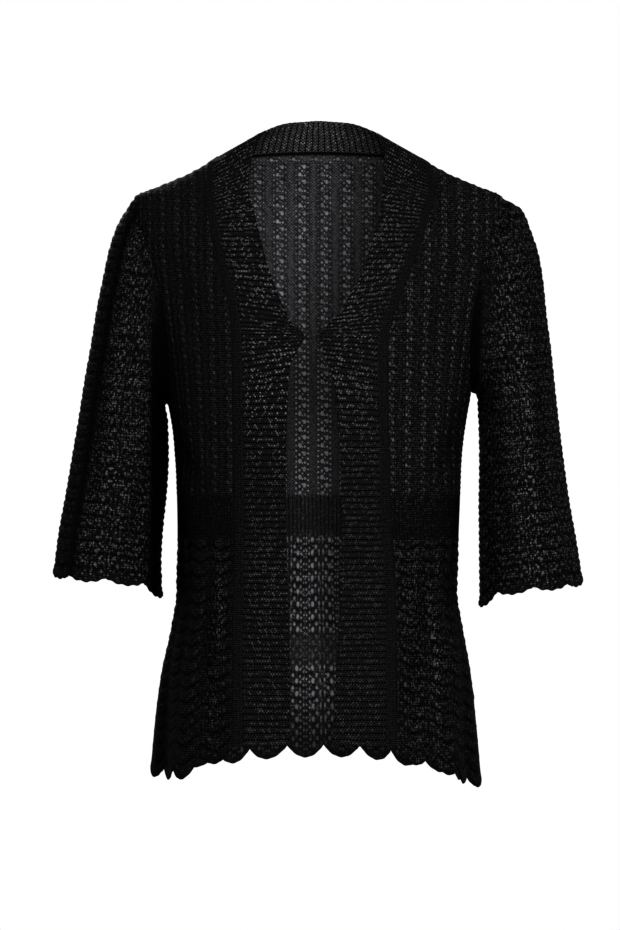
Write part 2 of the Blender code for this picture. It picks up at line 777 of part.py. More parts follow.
def make_eye():
    """The eye: a narrow loop whose bar lies in the hook's bend and whose legs end inside the left band."""
    bar = Vector((HOOK_BEND_X, hook_line() + HOOK_BEND_RADIUS, FASTENER_HEIGHT))
    seat_y = band_inside(1, EYE_END + SEWING_LOOP_RADIUS + EYE_WIRE) + SEAM_GAP + EYE_WIRE / 2
    x_axis = Vector((1, 0, 0))
    z_axis = Vector((0, 0, 1))
    points = []
    for side in (1, -1):
        foot = Vector((EYE_END, seat_y, FASTENER_HEIGHT + side * EYE_HALF_WIDTH))
        centre = foot + z_axis * side * SEWING_LOOP_RADIUS
        loop = arc(centre, SEWING_LOOP_RADIUS, side * 190, -side * 90, 10, (x_axis, z_axis))
        leg = bar + z_axis * side * EYE_HALF_WIDTH
        half = [*loop, leg]
        points += half if side > 0 else half[::-1]
    return add_wire("eye", points, EYE_WIRE)


def main():
    for thing in list(bpy.data.objects):
        bpy.data.objects.remove(thing, do_unlink=True)
    make_back()
    make_collar()
    make_neck_edging()
    for side in (-1, 1):
        make_front(side)
        make_edging(side)
        make_band(side)
        make_sleeve(side)
    make_hook()
    make_eye()


main()
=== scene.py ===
"""A black lace-knit cardigan with half sleeves, filled out as when it is worn, with nobody in it.

+Z is up, the front faces -Y and left means the wearer's left, at +X. Sizes are in millimetres and become
metres when a mesh is made. The torso is one smooth surface, given by a turn round it and a height, as in the
part's source. Each piece of cloth is a grid laid on it, raised where the knit is, with a wall behind it.
"""
import math

import bmesh
import bpy
import numpy as np
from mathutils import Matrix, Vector


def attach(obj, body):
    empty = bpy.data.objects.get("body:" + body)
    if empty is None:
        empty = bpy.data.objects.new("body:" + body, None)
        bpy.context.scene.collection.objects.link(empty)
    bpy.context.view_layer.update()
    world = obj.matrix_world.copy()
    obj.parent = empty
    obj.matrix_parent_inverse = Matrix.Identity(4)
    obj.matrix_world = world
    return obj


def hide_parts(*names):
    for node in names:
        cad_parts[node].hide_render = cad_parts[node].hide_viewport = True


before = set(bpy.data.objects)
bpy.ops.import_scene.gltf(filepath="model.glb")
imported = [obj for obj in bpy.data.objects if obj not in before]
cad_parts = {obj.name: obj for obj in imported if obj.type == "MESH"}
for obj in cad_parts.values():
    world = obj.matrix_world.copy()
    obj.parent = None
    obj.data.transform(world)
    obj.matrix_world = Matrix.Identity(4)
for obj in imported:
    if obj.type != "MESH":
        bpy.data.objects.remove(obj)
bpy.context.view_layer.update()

MM = 0.001
TAU = math.tau

# The photograph's frame, in which a pixel is a millimetre at the garment, and how dark it is printed
SENSOR_HEIGHT = 36.0
CAMERA_DISTANCE = 4500
CAMERA_ACROSS = -8.5
CAMERA_LEVEL = -315
FRAME_HEIGHT = 930
PRINT_GAMMA = 0.62

# The lamps' places, widths and powers, in metres and watts, the spot that they point at, and the floor
LAMPS = (
    ("key", (1.6, -3.1, 1.4), 1.2, 130),
    ("front", (0.2, -4.3, 0.5), 1.4, 210),
    ("behind", (-1.6, 3.4, 1.6), 1.6, 160),
)
LIT_SPOT = Vector((0, 0, -0.25))
FLOOR_RADIUS = 2.6
FLOOR_LEVEL = -1.4

# Walls of knitted cloth
PANEL_WALL = 1.3
BAND_WALL = 1.6
EDGING_WALL = 1.7

# The knit: a stitch, the bodice's pointelle, the waist's rib, the lace, and the ribs of the bands. Real
# stitches of this yarn are about 1.5 mm, too fine to show, so they are drawn coarser, and those of the
# inside coarser again.
WALE = 2.6
COURSE = 2.3
PURL_SCALE = 1.3
EDGING_STITCH = (2.4, 2.1)
POINTELLE_REPEAT = (22.8, 16.5)
RIB_PITCH = 4.8
LACE_REPEAT = (38.4, 12.8)
SKIRT_REPEATS = 16
SLEEVE_WALES = 145
FRONT_TIGHTNESS = 1.26
BACK_COLUMN_SHIFT = -6.3
BAND_RIB_PITCH = 6.1
BAND_LOOP_PITCH = 2.9
COLLAR_RIB_PITCH = 6.6
BORDER = 4.5

# How soft an eyelet's edge is, as shares of its size, how far round it the loops sink in, and how deep it is
EYELET_EDGE = (1.35, 0.6)
SUNK_WIDTH = 1.65
EYELET_DEPTH = -1.6

# How much a stitch's legs slant, and the groove between two wales: half its width, and how light it is
LEG_SLANT = 0.9
LEG_GROOVE = (0.35, 0.35)

# A purl bump's half width and half height as shares of its step
PURL_BUMP = (0.33, 0.36)

# Painted glints on loops, as if they caught the light: how far apart they are across and down, and how big.
# The second ones are further apart than the stitches, so that they don't line up. Close knit has less of
# them.
PAINTED_GLINTS = (((WALE, COURSE), 0.78), ((3.7, 3.1), 1.0))
CLOSE_KNIT_GLINT = 0.3

# Where the line between two ribs starts to darken and is full, how dark the painted shade in grooves, creases
# and cloth turned from the light gets, and the middle part of a noise's range that is used
RIB_LINE = (0.95, 0.3)
PAINTED_SHADE_DARK = 0.85
NOISE_RANGE = (0.32, 0.68)

# The plain band in the back's skirt, in rows of lace above the hem: where it starts and ends, softly, and how
# plain it is
PLAIN_BAND = (5.8, 6.8, 8.4, 9.2)
PLAIN_BAND_SHARE = 0.8

# How far the hook pulls the bands' ribs together, as a share, and up to how far from it, and how far the
# painted shade by the hook, where the bands get no glints, goes down and across
HOOK_HEIGHT = -189.0
HOOK_PULL = 0.4
HOOK_PULL_REACH = 42.0
HOOK_SHADE = (6.0, 9.0)

# Widths and lengths of cloth, for soft edges of a set length
FRONT_SIZE = (115, 620)
BACK_SIZE = (450, 600)
BAND_WIDTH = 48
BAND_KNITTED_WIDTH = 50.0
COLLAR_SIZE = (180, 24)
COLLAR_KNITTED_WIDTH = 30.0
NECK_EDGING_WIDTH = 5

# How far the knit stands out
POINTELLE_RELIEF = 0.55
RIB_RELIEF = 0.35
ARC_RELIEF = 0.75
FAN_RELIEF = 0.45
BAND_RIB_RELIEF = 0.42
COLLAR_RIB_RELIEF = 0.32
EDGING_CROWN = 1.1
EDGING_SINK = 0.3
BORDER_RELIEF = 0.8
ROW_RELIEF = 0.42
CUFF_RIPPLE = 0.7
HEM_RIPPLE = 0.3
RIPPLES_PER_SCALLOP = 4
SEAM_DIP = 0.2
SEAM_FADE = 4.5
SEAM_LAP = 0.8
EDGING_GROOVE = 0.35
EDGING_GROOVE_SHARE = 0.36
EDGING_GROOVE_SPREAD = 0.09
SLEEVE_TUCK = 1.4
CAP_FULLNESS = 9.0
CAP_FULL_TURN = 38.0
CAP_FULL_WIDTH = 20.0
END_DIP = 0.5

# Over what length a band's or the collar's ribs fade out at a seam and at the hem
BAND_SEAM_FADE = 3.0
BAND_HEM_FADE = 2.0

# Where down a sleeve, in rings, its cap starts to fill out and is full, and where that starts to go and ends
CAP_RINGS = (0.0, 0.4, 0.6, 2.6)

# Heights at which the knit changes
RIB_TOP = -345.0
RIB_END = -386.0
SKIRT_TOP = -391.0

# Rows and columns of each piece's grid
BACK_GRID = (192, 248)
FRONT_GRID = (64, 370)
SLEEVE_GRID = (160, 236)
BAND_GRID = (40, 580)
COLLAR_GRID = (250, 26)
EDGING_GRID = (9, 430)
NECK_EDGING_GRID = (230, 8)

# The shape, as the part's source gives it but for the left underarm, the left sleeve's inner edge, the cuffs'
# scallops and the collar's fullness, which follow the drape of the cloth more closely here
SIDE_TURN = 90.0
RIM_HEIGHT = 16.0
BAND_SEAM_HEIGHT = -7.5
PANEL_SEAM_HEIGHT = -13.0
SHOULDER_POINT = -48.0
NECK_CURVE = 1.15
RIM_RISE = 16.2
BAND_SEAM_RISE = 10.5
PANEL_SEAM_RISE = 8.0
UNDERARM = {-1: -254.0, 1: -242.0}
CHEST_HEIGHT = -100.0
COLLAR_FULLNESS = 3.2
COLLAR_FULL_SHARE = 0.2
COLLAR_FULL_SPREAD = 0.13
ARMHOLE_FRONT_TURN = 24.0
ARMHOLE_BACK_TURN = 22.0
STRIP_UNDERARM = -243.0
ARMHOLE_ROWS = 12
SIDE_ROWS = 10
ROWS = ARMHOLE_ROWS + SIDE_ROWS
TOP_BLEND_ROWS = 9
HEM_SCALLOP = 13.0
CUFF_SCALLOP = 5.5
CUFF_DROP = 2.8
CUFF_DROOP = 13.0
CUFF_DROOP_SHARPNESS = 6
BAND_HEM = -588.0
BAND_TILT_END = -95.0
BAND_HEM_BLEND = 20
HEM_COLUMNS = ("share", "right", "left")
FRONT_HEM = (
    (0, -590, -590),
    (0.2, -597, -598),
    (0.4, -611, -607),
    (0.7, -613, -619),
    (1, -612, -625),
)
BACK_HEM = -601.0
BACK_HEM_SHIFT = -3.1
WAIST = -455.0
SQUARENESS = 0.12
SIDE_SPREAD = 0.12
FLUTES = 10
FLUTE_DEPTH = 9.0
FLUTE_START_TURN = 30.0
FLUTE_FULL_TURN = 50.0
HEM_HEIGHT = -620.0
SLEEVE_FOLDS = 6
SLEEVE_FOLD_DEPTH = 4.0
SCALLOPS = {"front": 4, "back": 12, "sleeve": 8}

BODY_COLUMNS = ("height", "half_width", "front_depth", "back_depth", "lean")
BODY_SECTIONS = (
    (34, 27, 8, 43, 0),
    (16, 60, 10, 57, 0),
    (-6, 98.5, 20, 74, 0),
    (-24, 130, 33, 83, 0),
    (-36, 158, 43, 88, 0),
    (-48, 184, 53, 92, 0),
    (-75, 186, 71, 98, 0),
    (-100, 181, 86, 102, 0),
    (-150, 170, 106, 105, 0),
    (-200, 160, 118, 103, 0),
    (-250, 151, 124, 97, 0),
    (-300, 143, 121, 89, 0),
    (-350, 141, 112, 81, 0),
    (-400, 139.5, 103, 78, -0.5),
    (-440, 139.5, 104, 83, -1.5),
    (-475, 145, 108, 90, -1.5),
    (-525, 155, 115, 102, -2.5),
    (-575, 161, 122, 111, -3),
    (-645, 167, 131, 119, -3),
)

EDGE_COLUMNS = ("height", "right_edge", "right_seam", "left_edge", "left_seam")
FRONT_EDGES = (
    (16, 60, 110, 60, 110),
    (-7, 66.8, 110, 66.2, 110),
    (-22, 67.8, 113, 65, 114.5),
    (-35, 68, 112.5, 63.8, 116),
    (-52, 66.9, 110.8, 62, 114.2),
    (-70, 62.2, 108.2, 59, 108.6),
    (-95, 56.4, 104, 52.7, 100.6),
    (-120, 49.4, 97.5, 44.8, 92),
    (-155, 36.8, 89, 26.7, 78.2),
    (-177, 26, 86, 9.8, 71),
    (-190, 13.9, 85, 0.4, 67.8),
    (-203, 21.2, 84.6, 3.2, 66.8),
    (-221, 28, 84.3, 11, 66.8),
    (-245, 30, 84, 16.2, 67.6),
    (-286, 31.3, 83.6, 19.7, 68.6),
    (-351, 32.2, 83, 22.2, 70),
    (-440, 30, 83.5, 20.7, 75),
    (-525, 28, 84, 16.5, 75.6),
    (-590, 28, 84, 12.5, 75.6),
)
EDGING_WIDTH_AT_SHOULDER = 6.5
EDGING_WIDTH = 9.0

SLEEVE_COLUMN_NAMES = ("ring", "outer_x", "outer_z", "inner_x", "inner_z", "half_depth")
SLEEVE_RINGS = {
    -1: (
        (0, 184, -48, 151, -254, 44),
        (1, 190.5, -58, 153.8, -256.5, 44.5),
        (2, 200.5, -74, 153, -261, 45),
        (3, 209, -98, 152, -268, 45.5),
        (4, 215.5, -128, 151, -278, 46),
        (5, 222, -160, 150.2, -292, 46.5),
        (6, 227.5, -194, 149.6, -310, 47),
        (7, 234, -230, 150.4, -330, 47.5),
        (8, 240, -268, 152, -350, 48),
        (9, 246.5, -306, 154.3, -371, 48.5),
        (10, 253, -344, 156, -392, 49),
        (11, 260, -382, 156.8, -413, 49.5),
        (12, 265, -419, 156, -429, 50),
    ),
    1: (
        (0, 184, -48, 152.4, -242, 44),
        (1, 203, -60, 157.5, -245, 44.5),
        (2, 212, -80, 159.5, -252, 45),
        (3, 220, -104, 160.4, -262, 45.5),
        (4, 224.8, -133, 160.8, -276, 46),
        (5, 228, -165, 160.8, -293, 46.5),
        (6, 232.5, -199, 160.5, -312, 47),
        (7, 236.3, -235, 160.2, -333, 47.5),
        (8, 240.5, -273, 159.8, -354, 48),
        (9, 245.5, -312, 160, -376, 48.5),
        (10, 251, -351, 160.2, -399, 49),
        (11, 258, -390, 160.4, -422, 49.5),
        (12, 264, -427, 160.6, -438, 50),
    ),
}
RINGS = 12
SLEEVE_CENTRE_Y = -2.0
ARMHOLE_SHARE = (1.0, 0.62, 0.34, 0.16, 0.05)
SLEEVE_AXIS = (0.155, 0.0, -0.988)

# Soft creases of the torso's cloth: where, how wide and long, how far in, how much they lean, and how high
# the ridges beside them are as a share
CREASE_COLUMNS = ("turn", "down", "half_turn", "half_length", "depth", "lean")
CREASE_RIDGE = 0.5
CREASES = (
    (62, -300, 9, 34, 2.0, 0.25),
    (-64, -312, 8, 30, 2.2, -0.3),
    (48, -150, 7, 46, 1.6, 0.1),
    (-50, -140, 8, 52, 1.4, -0.12),
    (45, -470, 6, 60, 2.6, 0.08),
    (-47, -480, 6, 64, 2.4, -0.08),
    (70, -430, 6, 48, 2.0, 0.1),
    (-72, -420, 7, 52, 2.2, -0.1),
    (52, -545, 20, 5, 1.4, 0.0),
    (132, -330, 10, 42, 2.0, -0.2),
    (-134, -338, 9, 38, 2.2, 0.2),
    (154, -120, 8, 48, 1.6, 0.1),
    (-157, -110, 9, 52, 1.5, -0.1),
    (172, -470, 8, 66, 1.8, 0.0),
    (-150, -500, 7, 60, 2.4, 0.05),
    (122, -520, 7, 56, 2.2, -0.05),
)

# Folds of the sleeves' cloth, by turn round the sleeve and distance down it in rings
SLEEVE_CREASE_RIDGE = 0.4
SLEEVE_CREASES = (
    (60, 7.5, 14, 3.0, 2.0, 3.0),
    (118, 9.0, 12, 2.6, 1.8, -3.0),
    (150, 2.6, 16, 1.8, 2.4, -8.0),
    (215, 4.0, 16, 2.2, 2.2, 8.0),
    (262, 8.0, 14, 3.0, 2.0, 3.0),
    (318, 9.0, 13, 2.4, 1.8, -3.0),
)

# Painted light through the eyelets at places on the fronts' skirts, on the right and the left one: a share of
# the way from edging to side seam and a height, each with its spread
PAINTED_LIGHT_COLUMNS = ("share", "height", "share_spread", "height_spread", "right", "left")
PAINTED_LIGHT_PLACES = (
    (0.13, -460, 0.045, 45, 0.9, 0.3),
    (0.2, -470, 0.05, 55, 0.3, 0.5),
    (0.34, -500, 0.04, 55, 0.0, 0.6),
    (0.52, -490, 0.035, 45, 0.0, 0.35),
    (0.15, -560, 0.05, 40, 0.4, 0.2),
)

# How much painted light the fronts' eyelets and glints get above the waist, and how much less below it
FRONT_LIGHT = {-1: 0.45, 1: 0.95}
SKIRT_DIM = 0.6

# How dark the fronts' painted shade gets towards their side seams, where they turn from the light, and at
# which shares of their width and depths
FRONT_SHADE = {-1: 0.9, 1: 0.4}
FRONT_SHADE_SHARES = (0.3, 0.95)
FRONT_SHADE_DEPTHS = (150, 300)
TURNED_AWAY_DARK = 0.9

# How deep a fold is whose painted shade is quite dark, and how dark the painted shade in a fold and in the
# grooves between the bodice's columns gets
CREASE_SHADE_DEPTH = 4.0
FRONT_FOLD_SHADE = 0.6
BACK_FOLD_SHADE = 0.5
COLUMN_SHADE = 0.6

# How much painted light the back's eyelets and glints get at its side seams, and how much more from these
# shares of its width on
BACK_SIDE_LIGHT = 0.35
BACK_MIDDLE_GAIN = 0.45
BACK_SIDE_SHARES = (0.03, 0.2)

# Inside the lower back more light is painted in, with more on its eyelets and glints and less shade between
# its columns, between these depths below the origin
BACK_LOW = (170, 240)
BACK_LOW_LIGHT = 0.95

# How dark the back's painted shade gets near its hem, and over which lengths of lace above the scallops'
# valleys
BACK_HEM_SHADE = 0.92
BACK_HEM_REACH = (-8, 80)

# How much painted light the glints and eyelets get on pieces that are even all over, and how dark the painted
# shade on the neck's edging by the collar is
EVEN_LIGHT = {"edging": 0.5, "edging_neck": 0.6, "collar": 0.67}
NECK_EDGING_SHADE = 1.3

# How far out from the middle the painted shade under the arms reaches, and at which depths it and the painted
# shade beside the armhole seam start and are full
UNDERARM_SHADE_REACH = {-1: 173.0, 1: 166.0}
UNDERARM_DEPTHS = (115, 195)
SEAM_SHADE_DEPTHS = (70, 160)
SEAM_SHADE_RINGS = (0.2, 1.6)
SEAM_SHADE = 0.85

# How much painted light a sleeve's eyelets and glints get, by turn round it from its outer edge by way of the
# front.
# Where they have less than FULLY_LIT, on the front's share of the way round, the knit gets painted shade too.
FULLY_LIT = 0.22
SLEEVE_FRONT_SHARE = 0.53
SLEEVE_LIGHT_COLUMNS = ("turn", "right", "left")
SLEEVE_LIGHT = (
    (0, 0.3, 0.5),
    (38, 0.18, 0.5),
    (50, 0.05, 0.5),
    (64, 0.75, 0.6),
    (84, 0.8, 0.95),
    (104, 0.75, 0.65),
    (130, 0.7, 0.55),
    (142, 0.25, 0.6),
    (152, 0.03, 0.6),
    (168, 0.0, 0.45),
    (180, 0.0, 0.1),
    (205, 0.3, 0.3),
    (270, 0.6, 0.6),
    (330, 0.5, 0.5),
    (360, 0.3, 0.5),
)

# How much painted light a band's glints get: on the right and the left one, beside its seam, and from the
# shoulder down
BAND_SIDE_LIGHT = {-1: 1.0, 1: 0.77}
BAND_SEAM_SHADE = 0.7
BAND_SEAM_SHADE_WIDTH = 10
BAND_LIGHT_COLUMNS = ("height", "light")
BAND_LIGHT = (
    (16, 0.75),
    (-60, 1.0),
    (-190, 1.1),
    (-300, 0.8),
    (-335, 0.5),
    (-385, 0.45),
    (-410, 0.52),
    (-490, 0.43),
    (-515, 0.35),
    (-545, 0.43),
    (-590, 0.3),
)

# What a piece's mesh tells its material: how much of each knit there is, the border, the painted shade
# (groove) and the painted light on glints and eyelets (light)
VALUE_NAMES = ("bodice", "rib", "openwork", "border", "groove", "light")


def smooth_lookup(names, rows, name, stations):
    """A named column at stations of the first column, on a curve that never overshoots its rows."""
    column = names.index(name)
    at, value = np.array(sorted((row[0], row[column]) for row in rows), dtype=float).T
    chords = np.diff(value) / np.diff(at)
    product = chords[:-1] * chords[1:]
    total = chords[:-1] + chords[1:]
    inner = np.where(product > 0, 2 * product / np.where(product > 0, total, 1), 0.0)
    slopes = np.concatenate(([chords[0]], inner, [chords[-1]]))
    place = np.clip(stations, at[0], at[-1])
    spot = np.clip(np.searchsorted(at, place) - 1, 0, len(at) - 2)
    span = at[spot + 1] - at[spot]
    t = (place - at[spot]) / span
    start = value[spot] * (1 + 2 * t) * (1 - t) ** 2 + slopes[spot] * span * t * (1 - t) ** 2
    end = value[spot + 1] * t * t * (3 - 2 * t) - slopes[spot + 1] * span * t * t * (1 - t)
    return start + end


def ease(value, low, high):
    """0 below low, 1 above high and a smooth step between."""
    t = np.clip((np.asarray(value, dtype=float) - low) / (high - low), 0.0, 1.0)
    return t * t * (3 - 2 * t)


def body(name, height):
    return smooth_lookup(BODY_COLUMNS, BODY_SECTIONS, name, height)


def front_edge(name, height):
    return smooth_lookup(EDGE_COLUMNS, FRONT_EDGES, name, height)


def side_name(side):
    return "left" if side > 0 else "right"


def unit(vectors):
    return vectors / np.maximum(np.linalg.norm(vectors, axis=-1, keepdims=True), 1e-9)


def torso(turn, height):
    """The torso's surface; turn is in degrees from centre front towards the wearer's left."""
    across = np.sin(np.radians(turn))
    along = np.cos(np.radians(turn))
    depth = np.where(along > 0, body("front_depth", height), body("back_depth", height))
    x = body("half_width", height) * across
    y = -depth * along * (1 + SQUARENESS * across * across)
    away = np.abs((turn + 180) % 360 - 180)
    fade = ease(away, FLUTE_START_TURN, FLUTE_FULL_TURN) * ease(-height, -WAIST, -HEM_HEIGHT)
    trough = FLUTE_DEPTH * fade * (1 - np.cos(np.radians(FLUTES * (away - SIDE_TURN)))) / 2
    return np.stack((x - trough * across + body("lean", height), y + trough * along, height), axis=-1)


def torso_normal(turn, height):
    """Outward unit normal of the torso's surface."""
    round_it = torso(turn + 0.5, height) - torso(turn - 0.5, height)
    up_it = torso(turn, height + 0.5) - torso(turn, height - 0.5)
    return unit(np.cross(round_it, up_it))


def raised(turn, height, lift):
    """Points that stand out from the torso's surface."""
    return torso(turn, height) + torso_normal(turn, height) * lift[:, None]


def turn_at(x, height):
    """The turn, on the front, of the point that lies x to the side at a height."""
    share = (x - body("lean", height)) / body("half_width", height)
    return np.degrees(np.arcsin(np.clip(share, -1.0, 1.0)))


def creased(creases, ridge, turn, down):
    """How far cloth is sunk or raised at a place by creases with a ridge on either side."""
    total = np.zeros_like(down)
    for crease in creases:
        facts = dict(zip(CREASE_COLUMNS, crease))
        off_down = down - facts["down"]
        off_turn = (turn - facts["turn"] - facts["lean"] * off_down + 180) % 360 - 180
        across = off_turn / facts["half_turn"]
        along = facts["depth"] * np.exp(-(off_down / facts["half_length"]) ** 2)
        total += along * (ridge * np.exp(-(np.abs(across) - 1.7) ** 2) - np.exp(-across ** 2))
    return total


def crease_depth(turn, height):
    return creased(CREASES, CREASE_RIDGE, turn, height)


def round_length(turn, height):
    """Length of cloth round the torso from centre front, or from centre back behind the side seams."""
    turns = np.linspace(0, 90, 91)
    heights = np.linspace(-650, 35, 138)
    folded = np.abs((np.asarray(turn) + 180) % 360 - 180)
    behind = folded > 90
    away = np.where(behind, 180 - folded, folded)
    lengths = []
    for base, step in ((0, 1), (180, -1)):
        points = torso(base + step * turns[None, :], np.repeat(heights[:, None], len(turns), axis=1))
        hops = np.linalg.norm(np.diff(points, axis=1), axis=2)
        lengths.append(np.concatenate((np.zeros((len(heights), 1)), np.cumsum(hops, axis=1)), axis=1))
    row = np.clip((height - heights[0]) / (heights[1] - heights[0]), 0, len(heights) - 1.001)
    column = np.clip(away, 0, 89.999)
    i = row.astype(int)
    j = column.astype(int)
    row_part = row - i
    column_part = column - j

    def blended(table):
        near = table[i, j] * (1 - column_part) + table[i, j + 1] * column_part
        far = table[i + 1, j] * (1 - column_part) + table[i + 1, j + 1] * column_part
        return near * (1 - row_part) + far * row_part

    return np.where(behind, blended(lengths[1]), blended(lengths[0]))


def down_length(height, name):
    """Length of cloth down the middle of the front or back, from a height of 35."""
    heights = np.linspace(35, -650, 400)
    depths = body(name, heights)
    hops = np.hypot(np.diff(heights), np.diff(depths))
    lengths = np.concatenate(([0.0], np.cumsum(hops)))
    return np.interp(-height, -heights, lengths)


def cloth_spot(turn, height, depth_name):
    """The cloth's own coordinates across and down, with its columns upright over the shoulders."""
    points = torso(turn, height)
    folded = (turn + 180) % 360 - 180
    level = np.minimum(height, CHEST_HEIGHT)
    straight_down = turn_at(points[:, 0], level)
    straight_down = np.where(np.abs(folded) > 90, 180 - straight_down, straight_down)
    chest_turn = np.where(height > CHEST_HEIGHT, straight_down, turn)
    start = torso(chest_turn, level)
    rise = np.hypot(points[:, 1] - start[:, 1], points[:, 2] - start[:, 2])
    side = np.where(folded < 0, -1.0, 1.0)
    return side * round_length(chest_turn, level), down_length(level, depth_name) - rise


def panel_seam(side, row):
    """Turn and height along the seam between edging and front panel."""
    drop = PANEL_SEAM_HEIGHT - STRIP_UNDERARM
    upper = PANEL_SEAM_HEIGHT - drop * (row / ARMHOLE_ROWS) ** 2
    lower = STRIP_UNDERARM - (STRIP_UNDERARM - FRONT_HEM[0][1]) * (row - ARMHOLE_ROWS) / SIDE_ROWS
    height = np.where(row <= ARMHOLE_ROWS, upper, lower)
    turn = turn_at(side * front_edge(side_name(side) + "_seam", height), height)
    return np.where(row <= 0, side * SIDE_TURN, turn), height


def band_seam(side, row):
    """Turn and height along the seam between band and edging."""
    outer_height = panel_seam(side, row)[1]
    rise = BAND_SEAM_HEIGHT - PANEL_SEAM_HEIGHT
    height = outer_height + rise * ease(outer_height, STRIP_UNDERARM, PANEL_SEAM_HEIGHT)
    growth = ease(-height, -SHOULDER_POINT, -STRIP_UNDERARM)
    width = EDGING_WIDTH_AT_SHOULDER + (EDGING_WIDTH - EDGING_WIDTH_AT_SHOULDER) * growth
    x = front_edge(side_name(side) + "_seam", height) - width
    return np.where(row <= 0, side * SIDE_TURN, turn_at(side * x, height)), height


def front_hem(side, share):
    return smooth_lookup(HEM_COLUMNS, FRONT_HEM, side_name(side), share)


def side_seam(side, row, back):
    """Turn and height along the armhole edge and, below it, the side seam."""
    angle = math.pi * np.minimum(row, ARMHOLE_ROWS) / ARMHOLE_ROWS
    reach = ARMHOLE_BACK_TURN if back else -ARMHOLE_FRONT_TURN
    underarm = UNDERARM[side]
    middle = (SHOULDER_POINT + underarm) / 2
    armhole = middle + (SHOULDER_POINT - underarm) / 2 * np.cos(angle)
    share = np.maximum(row - ARMHOLE_ROWS, 0) / SIDE_ROWS
    height = armhole + (front_hem(side, 1.0) - underarm) * share
    return side * (SIDE_TURN + reach * np.sin(angle)), height


def neck_line(share, end_height, rise):
    """Turn and height round the back of the neck, from the left shoulder to the right one."""
    bow = np.sin(math.pi * np.clip(share, 0.0, 1.0)) ** NECK_CURVE
    return SIDE_TURN + 180 * share, end_height + rise * bow


def scallop(share_of_one, depth):
    """How far a scalloped edge hangs below its valleys at a share of one scallop."""
    return depth * np.sin(math.pi * (share_of_one % 1.0)) ** 0.8


def ripple(share_of_one, depth):
    """The small waves that the edge's own stitches make in a scalloped edge."""
    return depth * np.sin(TAU * RIPPLES_PER_SCALLOP * share_of_one + 1.0)


def spread_round(share):
    """Share of the turn round the back at a share of its columns."""
    return share + SIDE_SPREAD * np.sin(TAU * share) / TAU


def patch(u, row, sides, top, bottom, across):
    """Turn and height inside a panel, from those on its four edges."""
    near_top = np.maximum(1 - row / TOP_BLEND_ROWS, 0.0) ** 2
    near_bottom = np.maximum(row - ARMHOLE_ROWS, 0) / SIDE_ROWS
    nought = np.zeros_like(u)
    one = np.ones_like(u)
    spot = []
    for axis in (0, 1):
        level = (1 - across) * sides[0][axis] + across * sides[1][axis]
        upper = (1 - across) * top(nought)[axis] + across * top(one)[axis]
        lower = (1 - across) * bottom(nought)[axis] + across * bottom(one)[axis]
        spot.append(level + near_top * (top(u)[axis] - upper) + near_bottom * (bottom(u)[axis] - lower))
    return spot


def even_rows(down, *paths):
    """Row numbers at shares of the way down, so that steps along the paths are of even length on average."""
    rows = np.linspace(0, ROWS, 1200)
    total = np.zeros(len(rows))
    for path in paths:
        points = torso(*path(rows))
        hops = np.linalg.norm(np.diff(points, axis=0), axis=1)
        total += np.concatenate(([0.0], np.cumsum(hops)))
    return np.interp(down * total[-1], total, rows)


def knit_zones(height):
    """How much of the bodice's pointelle, the waist's rib and the skirt's lace there is at a height."""
    below_bodice = ease(-height, -RIB_TOP - 3, -RIB_TOP + 3)
    below_rib = ease(-height, -RIB_END - 2, -SKIRT_TOP)
    return 1 - below_bodice, below_bodice * (1 - below_rib), below_rib


def arc_droop(up, droop):
    """How far the lace's arcs hang in a scallop: as the hem does at the hem, and half of that further up."""
    return droop * (0.5 + 0.5 * (1 - ease(up, 0, 2 * LACE_REPEAT[1])))


def arc_groove(up, droop):
    """1 in the groove between two arcs of lace and 0 on them: where shade is painted."""
    place = (up + arc_droop(up, droop)) / LACE_REPEAT[1] % 1.0
    return np.exp(-(np.minimum(place, 1 - place) / 0.13) ** 2)


def bodice_columns(cloth):
    """The wavy pointelle columns: 1 on a column's crown and down to -1 in the grooves between."""
    wave = cloth[0] + 1.1 * np.sin(TAU * cloth[1] / POINTELLE_REPEAT[1])
    angle = TAU * wave / POINTELLE_REPEAT[0]
    return 0.62 * np.cos(2 * angle) + 0.38 * np.cos(angle)


def column_groove(cloth):
    """1 in the grooves between the bodice's columns and 0 on them: where shade is painted."""
    return ease(-bodice_columns(cloth), 0.0, 0.6)


def knit_relief(cloth, lace, zones, droop):
    """How far the knit stands out: wavy pointelle columns, straight ribs, and lace in hanging arcs."""
    bodice, rib, openwork = zones
    droop = arc_droop(lace[1], droop)
    ribs = np.cos(TAU * lace[0] / RIB_PITCH)
    place = (lace[1] + droop) / LACE_REPEAT[1] % 1.0
    arcs = np.sin(math.pi * place ** 0.75) ** 1.3 - 0.5
    rows = ROW_RELIEF * np.sin(2 * TAU * place + 0.8)
    bodice_rows = 0.6 * ROW_RELIEF * np.sin(3 * TAU * cloth[1] / POINTELLE_REPEAT[1])
    bodice_height = POINTELLE_RELIEF * bodice_columns(cloth) + bodice_rows
    fan = -np.cos(TAU * lace[0] / LACE_REPEAT[0])
    lace_height = ARC_RELIEF * arcs * (0.8 + 0.3 * fan) + FAN_RELIEF * fan + rows
    return bodice * bodice_height + rib * RIB_RELIEF * ribs + openwork * lace_height


